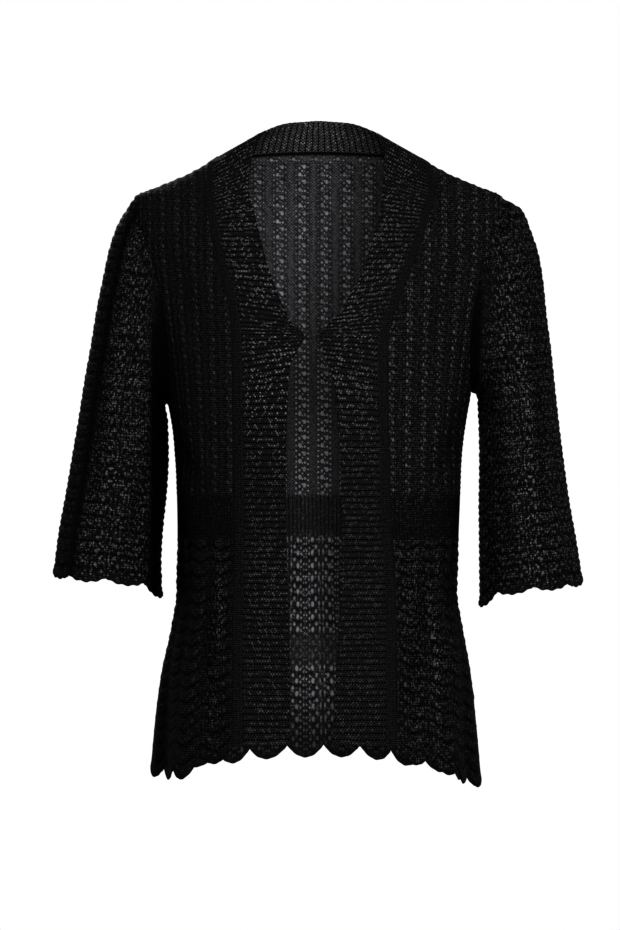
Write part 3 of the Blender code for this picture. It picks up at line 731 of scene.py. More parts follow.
def cloth_grid(name, grid, wall, shape, materials, inside_out=False, tube=False):
    """One piece of cloth: a grid laid on a shape, with a wall of cloth behind it.

    shape takes shares across and down and gives points in millimetres, the cloth's own coordinates for its
    stitches and its lace, and named values for its material.
    """
    columns, rows = grid
    mesh = bmesh.new()
    bmesh.ops.create_grid(mesh, x_segments=columns, y_segments=rows, size=0.5)
    if inside_out:
        bmesh.ops.reverse_faces(mesh, faces=mesh.faces[:])
    data = bpy.data.meshes.new(name)
    mesh.to_mesh(data)
    mesh.free()
    flat = np.empty(len(data.vertices) * 3)
    data.vertices.foreach_get("co", flat)
    flat = flat.reshape(-1, 3)
    points, cloth, lace, values = shape(np.clip(flat[:, 0] + 0.5, 0, 1), np.clip(0.5 - flat[:, 1], 0, 1))
    data.vertices.foreach_set("co", (points * MM).ravel())
    corners = np.empty(len(data.loops), dtype=np.int32)
    data.loops.foreach_get("vertex_index", corners)
    for map_name, pair in (("cloth", cloth), ("lace", lace)):
        layer = data.uv_layers.new(name=map_name)
        layer.uv.foreach_set("vector", np.stack(pair, axis=-1)[corners].ravel())
    for value_name in VALUE_NAMES:
        attribute = data.attributes.new(value_name, "FLOAT", "POINT")
        value = np.broadcast_to(np.asarray(values.get(value_name, 0.0), dtype=float), len(points))
        attribute.data.foreach_set("value", np.ascontiguousarray(value))
    if tube:
        mesh = bmesh.new()
        mesh.from_mesh(data)
        bmesh.ops.remove_doubles(mesh, verts=mesh.verts[:], dist=1e-6)
        mesh.to_mesh(data)
        mesh.free()
    data.shade_smooth()
    piece = bpy.data.objects.new(name, data)
    bpy.context.scene.collection.objects.link(piece)
    for material in materials:
        data.materials.append(material)
    back = piece.modifiers.new("wall", "SOLIDIFY")
    back.thickness = wall * MM
    back.offset = -1
    back.material_offset = 1
    back.material_offset_rim = 0
    return piece


def panel_facts(turn, height, columns_share, scallops, valley, depth_name):
    """The two sets of cloth coordinates of a panel, its zones of knit, and the droop of its lace's arcs."""
    cloth = cloth_spot(turn, height, depth_name)
    stretch = SKIRT_REPEATS * LACE_REPEAT[1] / (SKIRT_TOP - valley)
    lace = (columns_share * scallops * LACE_REPEAT[0], (height - valley) * stretch)
    droop = scallop(columns_share * scallops, HEM_SCALLOP * stretch)
    return cloth, lace, knit_zones(height), droop


def border_of(up):
    """1 on the thick border along a scalloped edge and 0 above it."""
    return 1 - ease(up, BORDER - 1.0, BORDER + 1.6)


def border_relief(up):
    """The border's round section."""
    return BORDER_RELIEF * np.sqrt(np.clip(1 - ((up - BORDER / 2) / (BORDER / 2 + 0.6)) ** 2, 0, 1))


def scalloped(u, row, scallops, height):
    """Heights in a panel, with its last row drawn down into scallops."""
    hang = scallop(u * scallops, HEM_SCALLOP) + ripple(u * scallops, HEM_RIPPLE)
    return height - hang * np.clip(row - (ROWS - 1), 0, 1) ** 1.3


def knitted_panel(u, down, size, spot, facts, fold_shade):
    """A panel's points, and the values for its material with its painted shade, but for its painted light."""
    turn, height = spot
    cloth, lace, zones, droop = facts
    up = lace[1] + droop
    border = border_of(up)
    fade = ease(np.minimum(u, 1 - u) * size[0], 0, SEAM_FADE) * ease(down * size[1], 0, SEAM_FADE)
    relief = knit_relief(cloth, lace, zones, droop) * (1 - border) + border * border_relief(up)
    crease = crease_depth(turn, height)
    points = raised(turn, height, crease + relief * fade - SEAM_DIP * (1 - fade))
    # Painted shade in deep creases and in the grooves between the lace's arcs
    painted_fold_shade = np.clip(-crease / CREASE_SHADE_DEPTH, 0, fold_shade)
    groove = np.maximum(arc_groove(lace[1], droop) * zones[2], painted_fold_shade)
    return points, dict(zip(VALUE_NAMES, (*zones, border, groove)))


def make_front(side, materials):
    """A front panel, from shoulder seam to scalloped hem."""
    scallops = SCALLOPS["front"]

    def hem_line(u):
        start = panel_seam(side, np.full_like(u, ROWS))[0]
        return start + (side * SIDE_TURN - start) * u, front_hem(side, u)

    def top_line(u):
        return side * SIDE_TURN + 0 * u, PANEL_SEAM_HEIGHT + (SHOULDER_POINT - PANEL_SEAM_HEIGHT) * u

    def shape(u, down):
        row = even_rows(down, lambda r: panel_seam(side, r), lambda r: side_seam(side, r, False))
        sides = (panel_seam(side, row), side_seam(side, row, False))
        turn, height = patch(u, row, sides, top_line, hem_line, u)
        valley = front_hem(side, u)
        height = scalloped(u, row, scallops, height)
        cloth, lace, zones, droop = panel_facts(turn, height, u, scallops, valley, "front_depth")
        cloth = (cloth[0] * FRONT_TIGHTNESS, cloth[1])
        facts = (cloth, lace, zones, droop)
        points, values = knitted_panel(u, down, FRONT_SIZE, (turn, height), facts, FRONT_FOLD_SHADE)
        # Painted light on the eyelets and glints, less below the waist and more at places on the skirt
        light = FRONT_LIGHT[side] * (1 - SKIRT_DIM * ease(-height, -RIB_TOP, -SKIRT_TOP))
        for place in PAINTED_LIGHT_PLACES:
            at = dict(zip(PAINTED_LIGHT_COLUMNS, place))
            near = ((u - at["share"]) / at["share_spread"]) ** 2
            near = near + ((height - at["height"]) / at["height_spread"]) ** 2
            light = light + at[side_name(side)] * np.exp(-near)
        # Painted shade towards the side seam, where the front turns from the light, and between the bodice's
        # columns
        turned_away_shade = ease(u, *FRONT_SHADE_SHARES) * ease(-height, *FRONT_SHADE_DEPTHS)
        turned_away_shade = FRONT_SHADE[side] * turned_away_shade
        values["light"] = light * (1 - turned_away_shade)
        columns = COLUMN_SHADE * column_groove(cloth) * zones[0]
        values["groove"] = np.maximum(values["groove"], columns) + TURNED_AWAY_DARK * turned_away_shade
        return points, cloth, lace, values

    name = "front_" + side_name(side) + "_panel"
    return cloth_grid(name, FRONT_GRID, PANEL_WALL, shape, materials, inside_out=side < 0)


def make_back(materials):
    """The back panel, between the shoulder seams, the neck, both armholes and both side seams."""
    scallops = SCALLOPS["back"]

    def hem_height(u):
        sides = front_hem(1, 1.0) * (1 - u) + front_hem(-1, 1.0) * u
        return sides + (BACK_HEM - sides) * np.sin(math.pi * u) ** 2

    def hem_line(u):
        turn = SIDE_TURN + 180 * spread_round(u) + BACK_HEM_SHIFT * np.sin(math.pi * u) ** 2
        return turn, hem_height(u)

    def top_line(u):
        third = u * 3
        neck_turn, neck_height = neck_line(third - 1, PANEL_SEAM_HEIGHT, PANEL_SEAM_RISE)
        slope = SHOULDER_POINT - PANEL_SEAM_HEIGHT
        left_height = PANEL_SEAM_HEIGHT + slope * (1 - third)
        right_height = PANEL_SEAM_HEIGHT + slope * (third - 2)
        turn = np.where(third <= 1, SIDE_TURN, np.where(third >= 2, 360 - SIDE_TURN, neck_turn))
        height = np.where(third <= 1, left_height, np.where(third >= 2, right_height, neck_height))
        return turn, height

    def sides(rows):
        right_turn, right_height = side_seam(-1, rows, True)
        return side_seam(1, rows, True), (right_turn + 360, right_height)

    def centre(rows):
        middle = np.full_like(rows, 0.5)
        return patch(middle, rows, sides(rows), top_line, hem_line, spread_round(middle))

    def shape(u, down):
        row = even_rows(down, centre, lambda r: side_seam(1, r, True))
        turn, height = patch(u, row, sides(row), top_line, hem_line, spread_round(u))
        height = scalloped(u, row, scallops, height)
        cloth, lace, zones, droop = panel_facts(turn, height, u, scallops, hem_height(u), "back_depth")
        cloth = (cloth[0] + BACK_COLUMN_SHIFT, cloth[1])
        start, full, fading, end = (rows * LACE_REPEAT[1] for rows in PLAIN_BAND)
        plain = PLAIN_BAND_SHARE * ease(lace[1], start, full) * (1 - ease(lace[1], fading, end))
        zones = (zones[0], zones[1], zones[2] * (1 - plain))
        facts = (cloth, lace, zones, droop)
        points, values = knitted_panel(u, down, BACK_SIZE, (turn, height), facts, BACK_FOLD_SHADE)
        # Painted shade between the columns and near the hem; painted light, less at the side seams, more low
        # down
        low = ease(-height, *BACK_LOW)
        columns = COLUMN_SHADE * column_groove(cloth) * zones[0] * (1 - low)
        near_hem = BACK_HEM_SHADE * (1 - ease(lace[1], *BACK_HEM_REACH))
        values["groove"] = np.maximum(np.maximum(values["groove"], columns), near_hem)
        light = BACK_SIDE_LIGHT + BACK_MIDDLE_GAIN * ease(np.minimum(u, 1 - u), *BACK_SIDE_SHARES)
        values["light"] = light * (1 + BACK_LOW_LIGHT * low)
        return points, cloth, lace, values

    return cloth_grid("back_panel", BACK_GRID, PANEL_WALL, shape, materials)


def crown(share):
    """The round section of an edging, 0 at its seams and 1 on its middle."""
    return np.sqrt(np.clip(1 - (2 * share - 1) ** 2, 0, 1))


def make_edging(side, materials):
    """The smooth round strip between a band and its front panel, with a groove beside its crown."""
    def shape(u, down):
        row = even_rows(down, lambda r: band_seam(side, r))
        inner = band_seam(side, row)
        outer = panel_seam(side, row)
        lapped = u + (2 * u - 1) * SEAM_LAP / EDGING_WIDTH
        turn = inner[0] + (outer[0] - inner[0]) * lapped
        height = inner[1] + (outer[1] - inner[1]) * lapped
        groove = EDGING_GROOVE * np.exp(-((u - EDGING_GROOVE_SHARE) / EDGING_GROOVE_SPREAD) ** 2)
        relief = EDGING_CROWN * crown(u) - groove - EDGING_SINK
        points = raised(turn, height, crease_depth(turn, height) + relief)
        cloth = (u * EDGING_WIDTH, down_length(height, "front_depth"))
        return points, cloth, cloth, {"light": EVEN_LIGHT["edging"]}

    name = "edging_" + side_name(side) + "_strip"
    return cloth_grid(name, EDGING_GRID, EDGING_WALL, shape, materials, inside_out=side < 0)


def make_neck_edging(materials):
    """The rolled strip round the back of the neck, between collar and back panel."""
    def shape(u, down):
        turn, inner = neck_line(u, BAND_SEAM_HEIGHT, BAND_SEAM_RISE)
        outer = neck_line(u, PANEL_SEAM_HEIGHT, PANEL_SEAM_RISE)[1]
        lapped = down + (2 * down - 1) * SEAM_LAP / NECK_EDGING_WIDTH
        height = inner + (outer - inner) * lapped
        points = raised(turn, height, EDGING_CROWN * crown(down) - EDGING_SINK)
        cloth = cloth_spot(turn, height, "back_depth")
        # Painted shade on the inside of the neck's edging, next to the collar
        shade_by_collar = NECK_EDGING_SHADE * (1 - ease(down, 0.3, 0.5))
        return points, cloth, cloth, {"light": EVEN_LIGHT["edging_neck"], "bodice": 1.0, "groove": shade_by_collar}

    return cloth_grid("edging_neck_strip", NECK_EDGING_GRID, EDGING_WALL, shape, materials)


def band_rib(place):
    """A round rib with a soft groove beside it, at a place in ribs."""
    return np.abs(np.sin(np.pi * place)) ** 0.9


def make_band(side, materials):
    """A front band, ribbed across, from the shoulder line to its straight hem."""
    name = side_name(side)
    seam_turn, seam_height = band_seam(side, np.linspace(0, ROWS, 900))
    steps = np.linspace(0, 1, 900) ** 1.2
    edge_height = RIM_HEIGHT + (BAND_HEM - RIM_HEIGHT) * steps
    edge_turn = turn_at(side * front_edge(name + "_edge", edge_height), edge_height)
    edge_turn[0] = side * SIDE_TURN
    hops = np.linalg.norm(np.diff(torso(edge_turn, edge_height), axis=0), axis=1)
    lengths = np.concatenate(([0.0], np.cumsum(hops)))
    ribs = round(lengths[-1] / BAND_RIB_PITCH)

    def shape(u, down):
        height = np.interp(down * lengths[-1], lengths, edge_height)
        level = ease(height, BAND_TILT_END, RIM_HEIGHT)
        lower = height - (RIM_HEIGHT - BAND_SEAM_HEIGHT) * level
        above_hook = height - HOOK_HEIGHT
        height = height - HOOK_PULL * above_hook * np.exp(-(above_hook / HOOK_PULL_REACH) ** 2)
        turn = np.interp(-height, -edge_height, edge_turn)
        near_hem = ease(-height, -BAND_HEM - BAND_HEM_BLEND, -BAND_HEM)
        lower = lower + (seam_height[-1] - BAND_HEM) * near_hem
        outer_turn = np.interp(-lower, -seam_height, seam_turn)
        spot_turn = turn + (outer_turn - turn) * u
        spot_height = height + (lower - height) * u
        from_hem = (1 - down) * lengths[-1]
        fade = ease((1 - u) * BAND_WIDTH, 0, BAND_SEAM_FADE) * ease(from_hem, 0, BAND_HEM_FADE)
        relief = BAND_RIB_RELIEF * band_rib(down * ribs) * fade
        relief = relief - END_DIP * (1 - ease(down * lengths[-1], 0, BAND_SEAM_FADE))
        points = raised(spot_turn, spot_height, crease_depth(spot_turn, spot_height) + relief)
        # The left band's loops start 40 loops on, so that other ones catch the light than on the right
        cloth = (u * BAND_KNITTED_WIDTH + 40 * BAND_LOOP_PITCH * (side > 0), down * ribs * BAND_RIB_PITCH)
        # Painted light on the band's glints, less beside its seam, and painted shade by the hook, where there
        # are none
        light = smooth_lookup(BAND_LIGHT_COLUMNS, BAND_LIGHT, "light", spot_height)
        by_seam = 1 - ease((1 - u) * BAND_WIDTH, 0, BAND_SEAM_SHADE_WIDTH)
        light = light * (1 - BAND_SEAM_SHADE * by_seam) * BAND_SIDE_LIGHT[side]
        off_hook = ((height - HOOK_HEIGHT) / HOOK_SHADE[0]) ** 2 + (u * BAND_WIDTH / HOOK_SHADE[1]) ** 2
        return points, cloth, cloth, {"light": light * (1 - np.exp(-off_hook))}

    return cloth_grid("band_" + name + "_strip", BAND_GRID, BAND_WALL, shape, materials, inside_out=side < 0)


def make_collar(materials):
    """The ribbed band that stands round the back of the neck, from shoulder to shoulder."""
    def shape(u, down):
        turn, rim = neck_line(u, RIM_HEIGHT, RIM_RISE)
        foot = neck_line(u, BAND_SEAM_HEIGHT, BAND_SEAM_RISE)[1]
        height = rim + (foot - rim) * down
        fade = ease((1 - down) * COLLAR_SIZE[1], 0, BAND_SEAM_FADE)
        upright = 0.8 * torso(turn, height)[:, 0] + 0.2 * torso(turn, foot)[:, 0]
        relief = COLLAR_RIB_RELIEF * band_rib(upright / COLLAR_RIB_PITCH) * fade
        folded = np.minimum(u, 1 - u)
        end_dip = END_DIP * (1 - ease(folded * COLLAR_SIZE[0], 0, BAND_SEAM_FADE))
        points = raised(turn, height, relief - end_dip)
        full = np.exp(-((folded - COLLAR_FULL_SHARE) / COLLAR_FULL_SPREAD) ** 2)
        points[:, 2] += COLLAR_FULLNESS * (1 - down) * full
        cloth = (down * COLLAR_KNITTED_WIDTH, upright * BAND_RIB_PITCH / COLLAR_RIB_PITCH)
        return points, cloth, cloth, {"light": EVEN_LIGHT["collar"]}

    return cloth_grid("collar_strip", COLLAR_GRID, BAND_WALL, shape, materials)


def sleeve_value(side, name, ring):
    return smooth_lookup(SLEEVE_COLUMN_NAMES, SLEEVE_RINGS[side], name, ring)


def sleeve_oval(side, turn, ring):
    """Points on a sleeve's rings; turn is in degrees from its outer edge by way of the front."""
    nought = np.zeros_like(ring)
    outer, inner = (
        np.stack([sleeve_value(side, edge + "_x", ring), nought, sleeve_value(side, edge + "_z", ring)], -1)
        for edge in ("outer", "inner")
    )
    middle = (outer + inner) / 2 + np.array((0.0, SLEEVE_CENTRE_Y, 0.0))
    angle = np.radians(turn)
    fold = SLEEVE_FOLD_DEPTH * ease(ring, 2, 12) * (1 - np.cos(SLEEVE_FOLDS * angle)) / 2
    depth = sleeve_value(side, "half_depth", ring) - fold
    half = (outer - inner) / 2
    half = half * (1 - fold / np.linalg.norm(half, axis=-1))[:, None]
    ahead = np.stack((nought, depth * np.sin(angle), nought), axis=-1)
    return middle + half * np.cos(angle)[:, None] - ahead


def armhole_spot(side, turn):
    """A side's armhole edge, as on the left side, with the torso's normal and the way out of the panel."""
    def edge(angle):
        angle = angle % 360
        behind = angle > 180
        row = np.where(behind, 360 - angle, angle) / 180 * ARMHOLE_ROWS
        front_turn, height = side_seam(side, row, False)
        back_turn = side_seam(side, row, True)[0]
        return side * np.where(behind, back_turn, front_turn), height

    spot = edge(turn)
    tangent = unit(torso(*edge(turn + 4)) - torso(*edge(turn - 4)))
    normal = torso_normal(*spot)
    return torso(*spot), normal, unit(np.cross(normal, tangent))


def sleeve_base(side, turn, ring):
    """The sleeve's smooth surface, on the left side: ovals that take up the armhole's outline near it."""
    share = np.interp(ring, np.arange(len(ARMHOLE_SHARE)), ARMHOLE_SHARE) * (ring < len(ARMHOLE_SHARE) - 1)
    point = sleeve_oval(side, turn, ring)
    at_armhole = armhole_spot(side, turn)[0] - sleeve_oval(side, turn, np.zeros_like(ring))
    return point + at_armhole * share[:, None]


def sleeve_normal(side, turn, ring):
    round_it = sleeve_base(side, turn + 2, ring) - sleeve_base(side, turn - 2, ring)
    along_it = sleeve_base(side, turn, np.maximum(ring - 0.4, 0.0)) - sleeve_base(side, turn, ring + 0.4)
    return unit(np.cross(along_it, round_it))


def sleeve_crease(turn, ring):
    return creased(SLEEVE_CREASES, SLEEVE_CREASE_RIDGE, turn, ring)


def make_sleeve(side, materials):
    """A set-in sleeve: a tube of lace from the armhole to a scalloped cuff."""
    scallops = SCALLOPS["sleeve"]
    axis = np.array(SLEEVE_AXIS)
    fine = np.linspace(0, RINGS, 400)
    front_line = sleeve_base(side, np.full_like(fine, 90.0), fine)
    outer_edge = sleeve_base(side, np.full_like(fine, 0.0), fine)
    steps = sum(np.linalg.norm(np.diff(line, axis=0), axis=1) for line in (front_line, outer_edge))
    lengths = np.concatenate(([0.0], np.cumsum(steps)))

    outer_line = sleeve_oval(side, np.zeros_like(fine), fine)
    inner_line = sleeve_oval(side, np.full_like(fine, 180.0), fine)
    square = np.array((-axis[2], 0.0, axis[0]))

    def section_turn(points):
        """Turn round the sleeve in a section square to its length."""
        along = points @ axis
        wide = np.interp(along, outer_line @ axis, outer_line @ square)
        narrow = np.interp(along, inner_line @ axis, inner_line @ square)
        share = (points @ square - (wide + narrow) / 2) / ((wide - narrow) / 2)
        angle = np.degrees(np.arccos(np.clip(share, -1, 1)))
        return np.where(points[:, 1] > SLEEVE_CENTRE_Y, 360 - angle, angle)

    def shape(u, down):
        turn = 360 * u
        ring = np.interp(down * lengths[-1], lengths, fine)
        base = sleeve_base(side, turn, ring)
        normal = sleeve_normal(side, turn, np.minimum(ring, RINGS - 0.4))
        panel_normal, way_out = armhole_spot(side, turn)[1:]
        at_seam = 1 - ease(ring, 0, 0.8)
        normal = unit(normal + panel_normal * at_seam[:, None])
        tuck = SLEEVE_TUCK * (1 - ease(ring, 0, 0.05))
        from_top = np.minimum(turn, 360 - turn)
        full = CAP_FULLNESS * np.exp(-((from_top - CAP_FULL_TURN) / CAP_FULL_WIDTH) ** 2)
        full = full * ease(ring, *CAP_RINGS[:2]) * (1 - ease(ring, *CAP_RINGS[2:]))
        base = base + normal * full[:, None]
        base = base + way_out * (0.2 * at_seam - tuck)[:, None] - panel_normal * (0.3 * tuck)[:, None]
        cuff = sleeve_base(side, turn, np.full_like(turn, float(RINGS)))
        inner_side = np.maximum(-np.cos(np.radians(turn)), 0.0)
        droop = scallop(u * scallops, CUFF_SCALLOP)
        hang = CUFF_DROP + droop + ripple(u * scallops, CUFF_RIPPLE)
        hang = hang + CUFF_DROOP * inner_side ** CUFF_DROOP_SHARPNESS
        base[:, 2] -= hang * np.clip((ring - (RINGS - 1)), 0, 1) ** 1.2
        up = ((cuff - base) * axis).sum(axis=1)
        over_edge = up + hang
        around = section_turn(base) / 360
        lace = (around * scallops * LACE_REPEAT[0], over_edge - droop)
        cloth = (around * SLEEVE_WALES * WALE, -up)
        border = border_of(over_edge)
        nought = np.zeros_like(u)
        fade = ease(ring, 0, 0.25)
        relief = knit_relief(cloth, lace, (nought, nought, 1.0), droop) * (1 - border)
        relief = (relief + border * border_relief(over_edge)) * fade - SEAM_DIP * (1 - fade)
        relief = relief + sleeve_crease(turn, ring) * ease(ring, 0, 1)
        points = base + normal * relief[:, None]
        points[:, 0] *= side
        # Painted light on eyelets and glints round the sleeve; painted shade under the arm, by the seam, in
        # creases and grooves
        light = smooth_lookup(SLEEVE_LIGHT_COLUMNS, SLEEVE_LIGHT, side_name(side), around * 360)
        depth = -base[:, 2]
        underarm = ease(UNDERARM_SHADE_REACH[side] - base[:, 0], 0, 10) * ease(depth, *UNDERARM_DEPTHS)
        by_seam = (1 - ease(ring, *SEAM_SHADE_RINGS)) * ease(depth, *SEAM_SHADE_DEPTHS)
        light = light * (1 - underarm) * (1 - SEAM_SHADE * by_seam)
        turned_away_shade = (1 - ease(light, 0.0, FULLY_LIT)) * (around < SLEEVE_FRONT_SHARE)
        painted_fold_shade = np.clip(-sleeve_crease(turn, ring) / CREASE_SHADE_DEPTH, 0, BACK_FOLD_SHADE)
        groove = np.maximum(arc_groove(lace[1], droop) * (1 - border), painted_fold_shade)
        groove = np.maximum(groove, turned_away_shade)
        values = {"openwork": 1 - border, "border": border, "groove": groove, "light": light}
        return points, cloth, lace, values

    name = "sleeve_" + side_name(side) + "_tube"
    return cloth_grid(name, SLEEVE_GRID, PANEL_WALL, shape, materials, inside_out=side > 0, tube=True)


def linear(code):
    """An sRGB hex colour as linear values."""
    parts = [int(code[i:i + 2], 16) / 255 for i in (0, 2, 4)]
    return (*(c / 12.92 if c <= 0.04045 else ((c + 0.055) / 1.055) ** 2.4 for c in parts), 1.0)


def add(tree, kind, inputs=(), output=0, **settings):
    """Add a shader node with its settings. Inputs are values or links, in the sockets' order or by socket."""
    made = tree.nodes.new("ShaderNode" + kind)
    for name, value in settings.items():
        setattr(made, name, value)
    for socket, value in inputs.items() if isinstance(inputs, dict) else enumerate(inputs):
        if isinstance(value, bpy.types.NodeSocket):
            tree.links.new(value, made.inputs[socket])
        else:
            made.inputs[socket].default_value = value
    return made.outputs[output]


def combined(tree, operation, fields):
    """Several fields made one: MAXIMUM keeps the lightest at each place, MULTIPLY dims each by the others."""
    result = fields[0]
    for field in fields[1:]:
        result = add(tree, "Math", (result, field), operation=operation)
    return result


def layered(tree, ground, coats):
    """A colour with others laid over it in turn, each by its own share."""
    colour = linear(ground)
    for share, code in coats:
        colour = add(tree, "Mix", {0: share, 6: colour, 7: linear(code)}, output=2, data_type="RGBA")
    return colour


def new_material(name, roughness, specular):
    material = bpy.data.materials.new(name)
    material.use_nodes = True
    shader = material.node_tree.nodes["Principled BSDF"]
    shader.inputs["Roughness"].default_value = roughness
    shader.inputs["Specular IOR Level"].default_value = specular
    return material, material.node_tree, shader


def dress(tree, shader, colour, height, strength, distance):
    """Give a knit its colour, and bumps from the height of its loops."""
    tree.links.new(colour, shader.inputs["Base Color"])
    bump = add(tree, "Bump", {"Strength": strength, "Distance": distance, "Height": height})
    tree.links.new(bump, shader.inputs["Normal"])


def shifted_spot(tree, map_name, amount):
    """Cloth coordinates in millimetres, pushed about a little as handmade loops are."""
    spot = add(tree, "UVMap", uv_map=map_name)
    drift = add(tree, "TexNoise", {"Vector": spot, "Scale": 0.11, "Detail": 2.0}, output=1)
    drift = add(tree, "VectorMath", (drift, (0.5, 0.5, 0.5)), operation="SUBTRACT")
    drift = add(tree, "VectorMath", (drift, (amount, amount, 0.0)), operation="MULTIPLY")
    return add(tree, "VectorMath", (spot, drift), operation="ADD")


def eyelets(tree, spot, repeat, first, size):
    """A field of oval eyelets, 1 inside each: one at first and then one every repeat, in millimetres.

    size is half an eyelet's width and half its height.
    """
    scale = (1 / repeat[0], 1 / repeat[1], 0.0)
    shift = (0.5 - first[0] / repeat[0], 0.5 - first[1] / repeat[1], 0.0)
    cell = add(tree, "VectorMath", (spot, scale, shift), operation="MULTIPLY_ADD")
    cell = add(tree, "VectorMath", (cell,), operation="FRACTION")
    grow = (repeat[0] / size[0], repeat[1] / size[1], 0.0)
    centre = (-0.5 * grow[0], -0.5 * grow[1], 0.0)
    cell = add(tree, "VectorMath", (cell, grow, centre), operation="MULTIPLY_ADD")
    away = add(tree, "VectorMath", (cell,), output=1, operation="LENGTH")
    return add(tree, "MapRange", (away, *EYELET_EDGE), interpolation_type="SMOOTHSTEP")


def stitches(tree, spot, wale, course):
    """Plain knit, 0 in its gaps to 1 on its loops: two slanting legs to each stitch."""
    across, down = add(tree, "SeparateXYZ", (spot,)).node.outputs[:2]
    leg = add(tree, "Math", (across, wale / 2), operation="PINGPONG")
    level = add(tree, "Math", (down, TAU / course), operation="MULTIPLY")
    slant = add(tree, "Math", (leg, LEG_SLANT * TAU / wale, level), operation="MULTIPLY_ADD")
    wave = add(tree, "Math", (slant,), operation="SINE")
    wave = add(tree, "Math", (wave, 0.5, 0.5), operation="MULTIPLY_ADD")
    groove = add(tree, "MapRange", (leg, 0.0, *LEG_GROOVE, 1.0), interpolation_type="SMOOTHSTEP")
    return combined(tree, "MULTIPLY", (wave, groove))


def purl_side(tree, spot, wale, course):
    """The wrong side of plain knit, 0 in its gaps to 1 on its loops: rows of bumps set between each other."""
    step = (PURL_SCALE * wale, PURL_SCALE * course)
    size = (PURL_BUMP[0] * step[0], PURL_BUMP[1] * step[1])
    places = ((0.0, 0.0), (step[0] / 2, step[1] / 2))
    return combined(tree, "MAXIMUM", [eyelets(tree, spot, step, first, size) for first in places])


def speckle(tree, spot, pitch, first, size, least):
    """Painted glints on heads of loops: round dots, a pitch apart, of which some catch the light more than
    others.
    """
    shift = (pitch[0] / 2 - first[0], pitch[1] / 2 - first[1], first[1])
    moved = add(tree, "VectorMath", (spot, shift), operation="ADD")
    cell = add(tree, "VectorMath", (moved, (*pitch, 1.0)), operation="SNAP")
    chance = add(tree, "TexWhiteNoise", {"Vector": cell}, noise_dimensions="3D")
    chance = add(tree, "MapRange", (chance, least, 1.0))
    return combined(tree, "MULTIPLY", (eyelets(tree, spot, pitch, first, size), chance))


def mottle(tree, spot, scale, least, most):
    """Soft unevenness between two values, scale patches to a millimetre."""
    noise = add(tree, "TexNoise", {"Vector": spot, "Scale": scale, "Detail": 1.0})
    return add(tree, "MapRange", (noise, *NOISE_RANGE, least, most))


def pointelle(tree, spot, width):
    """Eyelets of the bodice: a zigzag pair of columns to each repeat, with small ones beside them."""
    repeat = POINTELLE_REPEAT
    half = repeat[1] / 2
    third = (repeat[0], repeat[1] / 3)
    places = (
        (repeat, (-2.5, 0.0), 1.7, 2.2),
        (repeat, (2.5, half), 1.7, 2.2),
        (repeat, (2.9, 1.4), 1.1, 1.3),
        (repeat, (-2.9, half + 1.4), 1.1, 1.3),
        (third, (-6.3, 0.4), 0.95, 1.1),
        (third, (6.1, 3.0), 0.95, 1.1),
        (third, (0.1, 1.7), 0.8, 1.0),
    )
    return combined(tree, "MAXIMUM", [
        eyelets(tree, spot, step, first, (width * wide, width * tall)) for step, first, wide, tall in places
    ])


def lace(tree, spot, width):
    """Eyelets of the feather-and-fan lace: an open section at each scallop's valley, a fine fan between."""
    across, up = add(tree, "SeparateXYZ", (spot,)).node.outputs[:2]
    folded = add(tree, "Math", (across, LACE_REPEAT[0] / 2), operation="PINGPONG")
    spot = add(tree, "CombineXYZ", (folded, up))
    rise = LACE_REPEAT[1]
    # A folded half repeat holds each place once, so the step across is any length beyond it
    step = (60.0, rise)
    places = (
        ((10.3, 0.0), 1.7, 2.6),
        ((2.3, 0.0), 1.0, 3.2),
        ((6.3, rise / 2), 1.3, 1.9),
        ((14.0, rise * 0.4), 1.0, 1.4),
        ((14.2, rise * 0.9), 0.9, 1.2),
        ((17.6, rise * 0.15), 0.9, 1.2),
        ((17.8, rise * 0.65), 0.9, 1.2),
    )
    return combined(tree, "MAXIMUM", [
        eyelets(tree, spot, step, first, (width * wide, width * tall)) for first, wide, tall in places
    ])


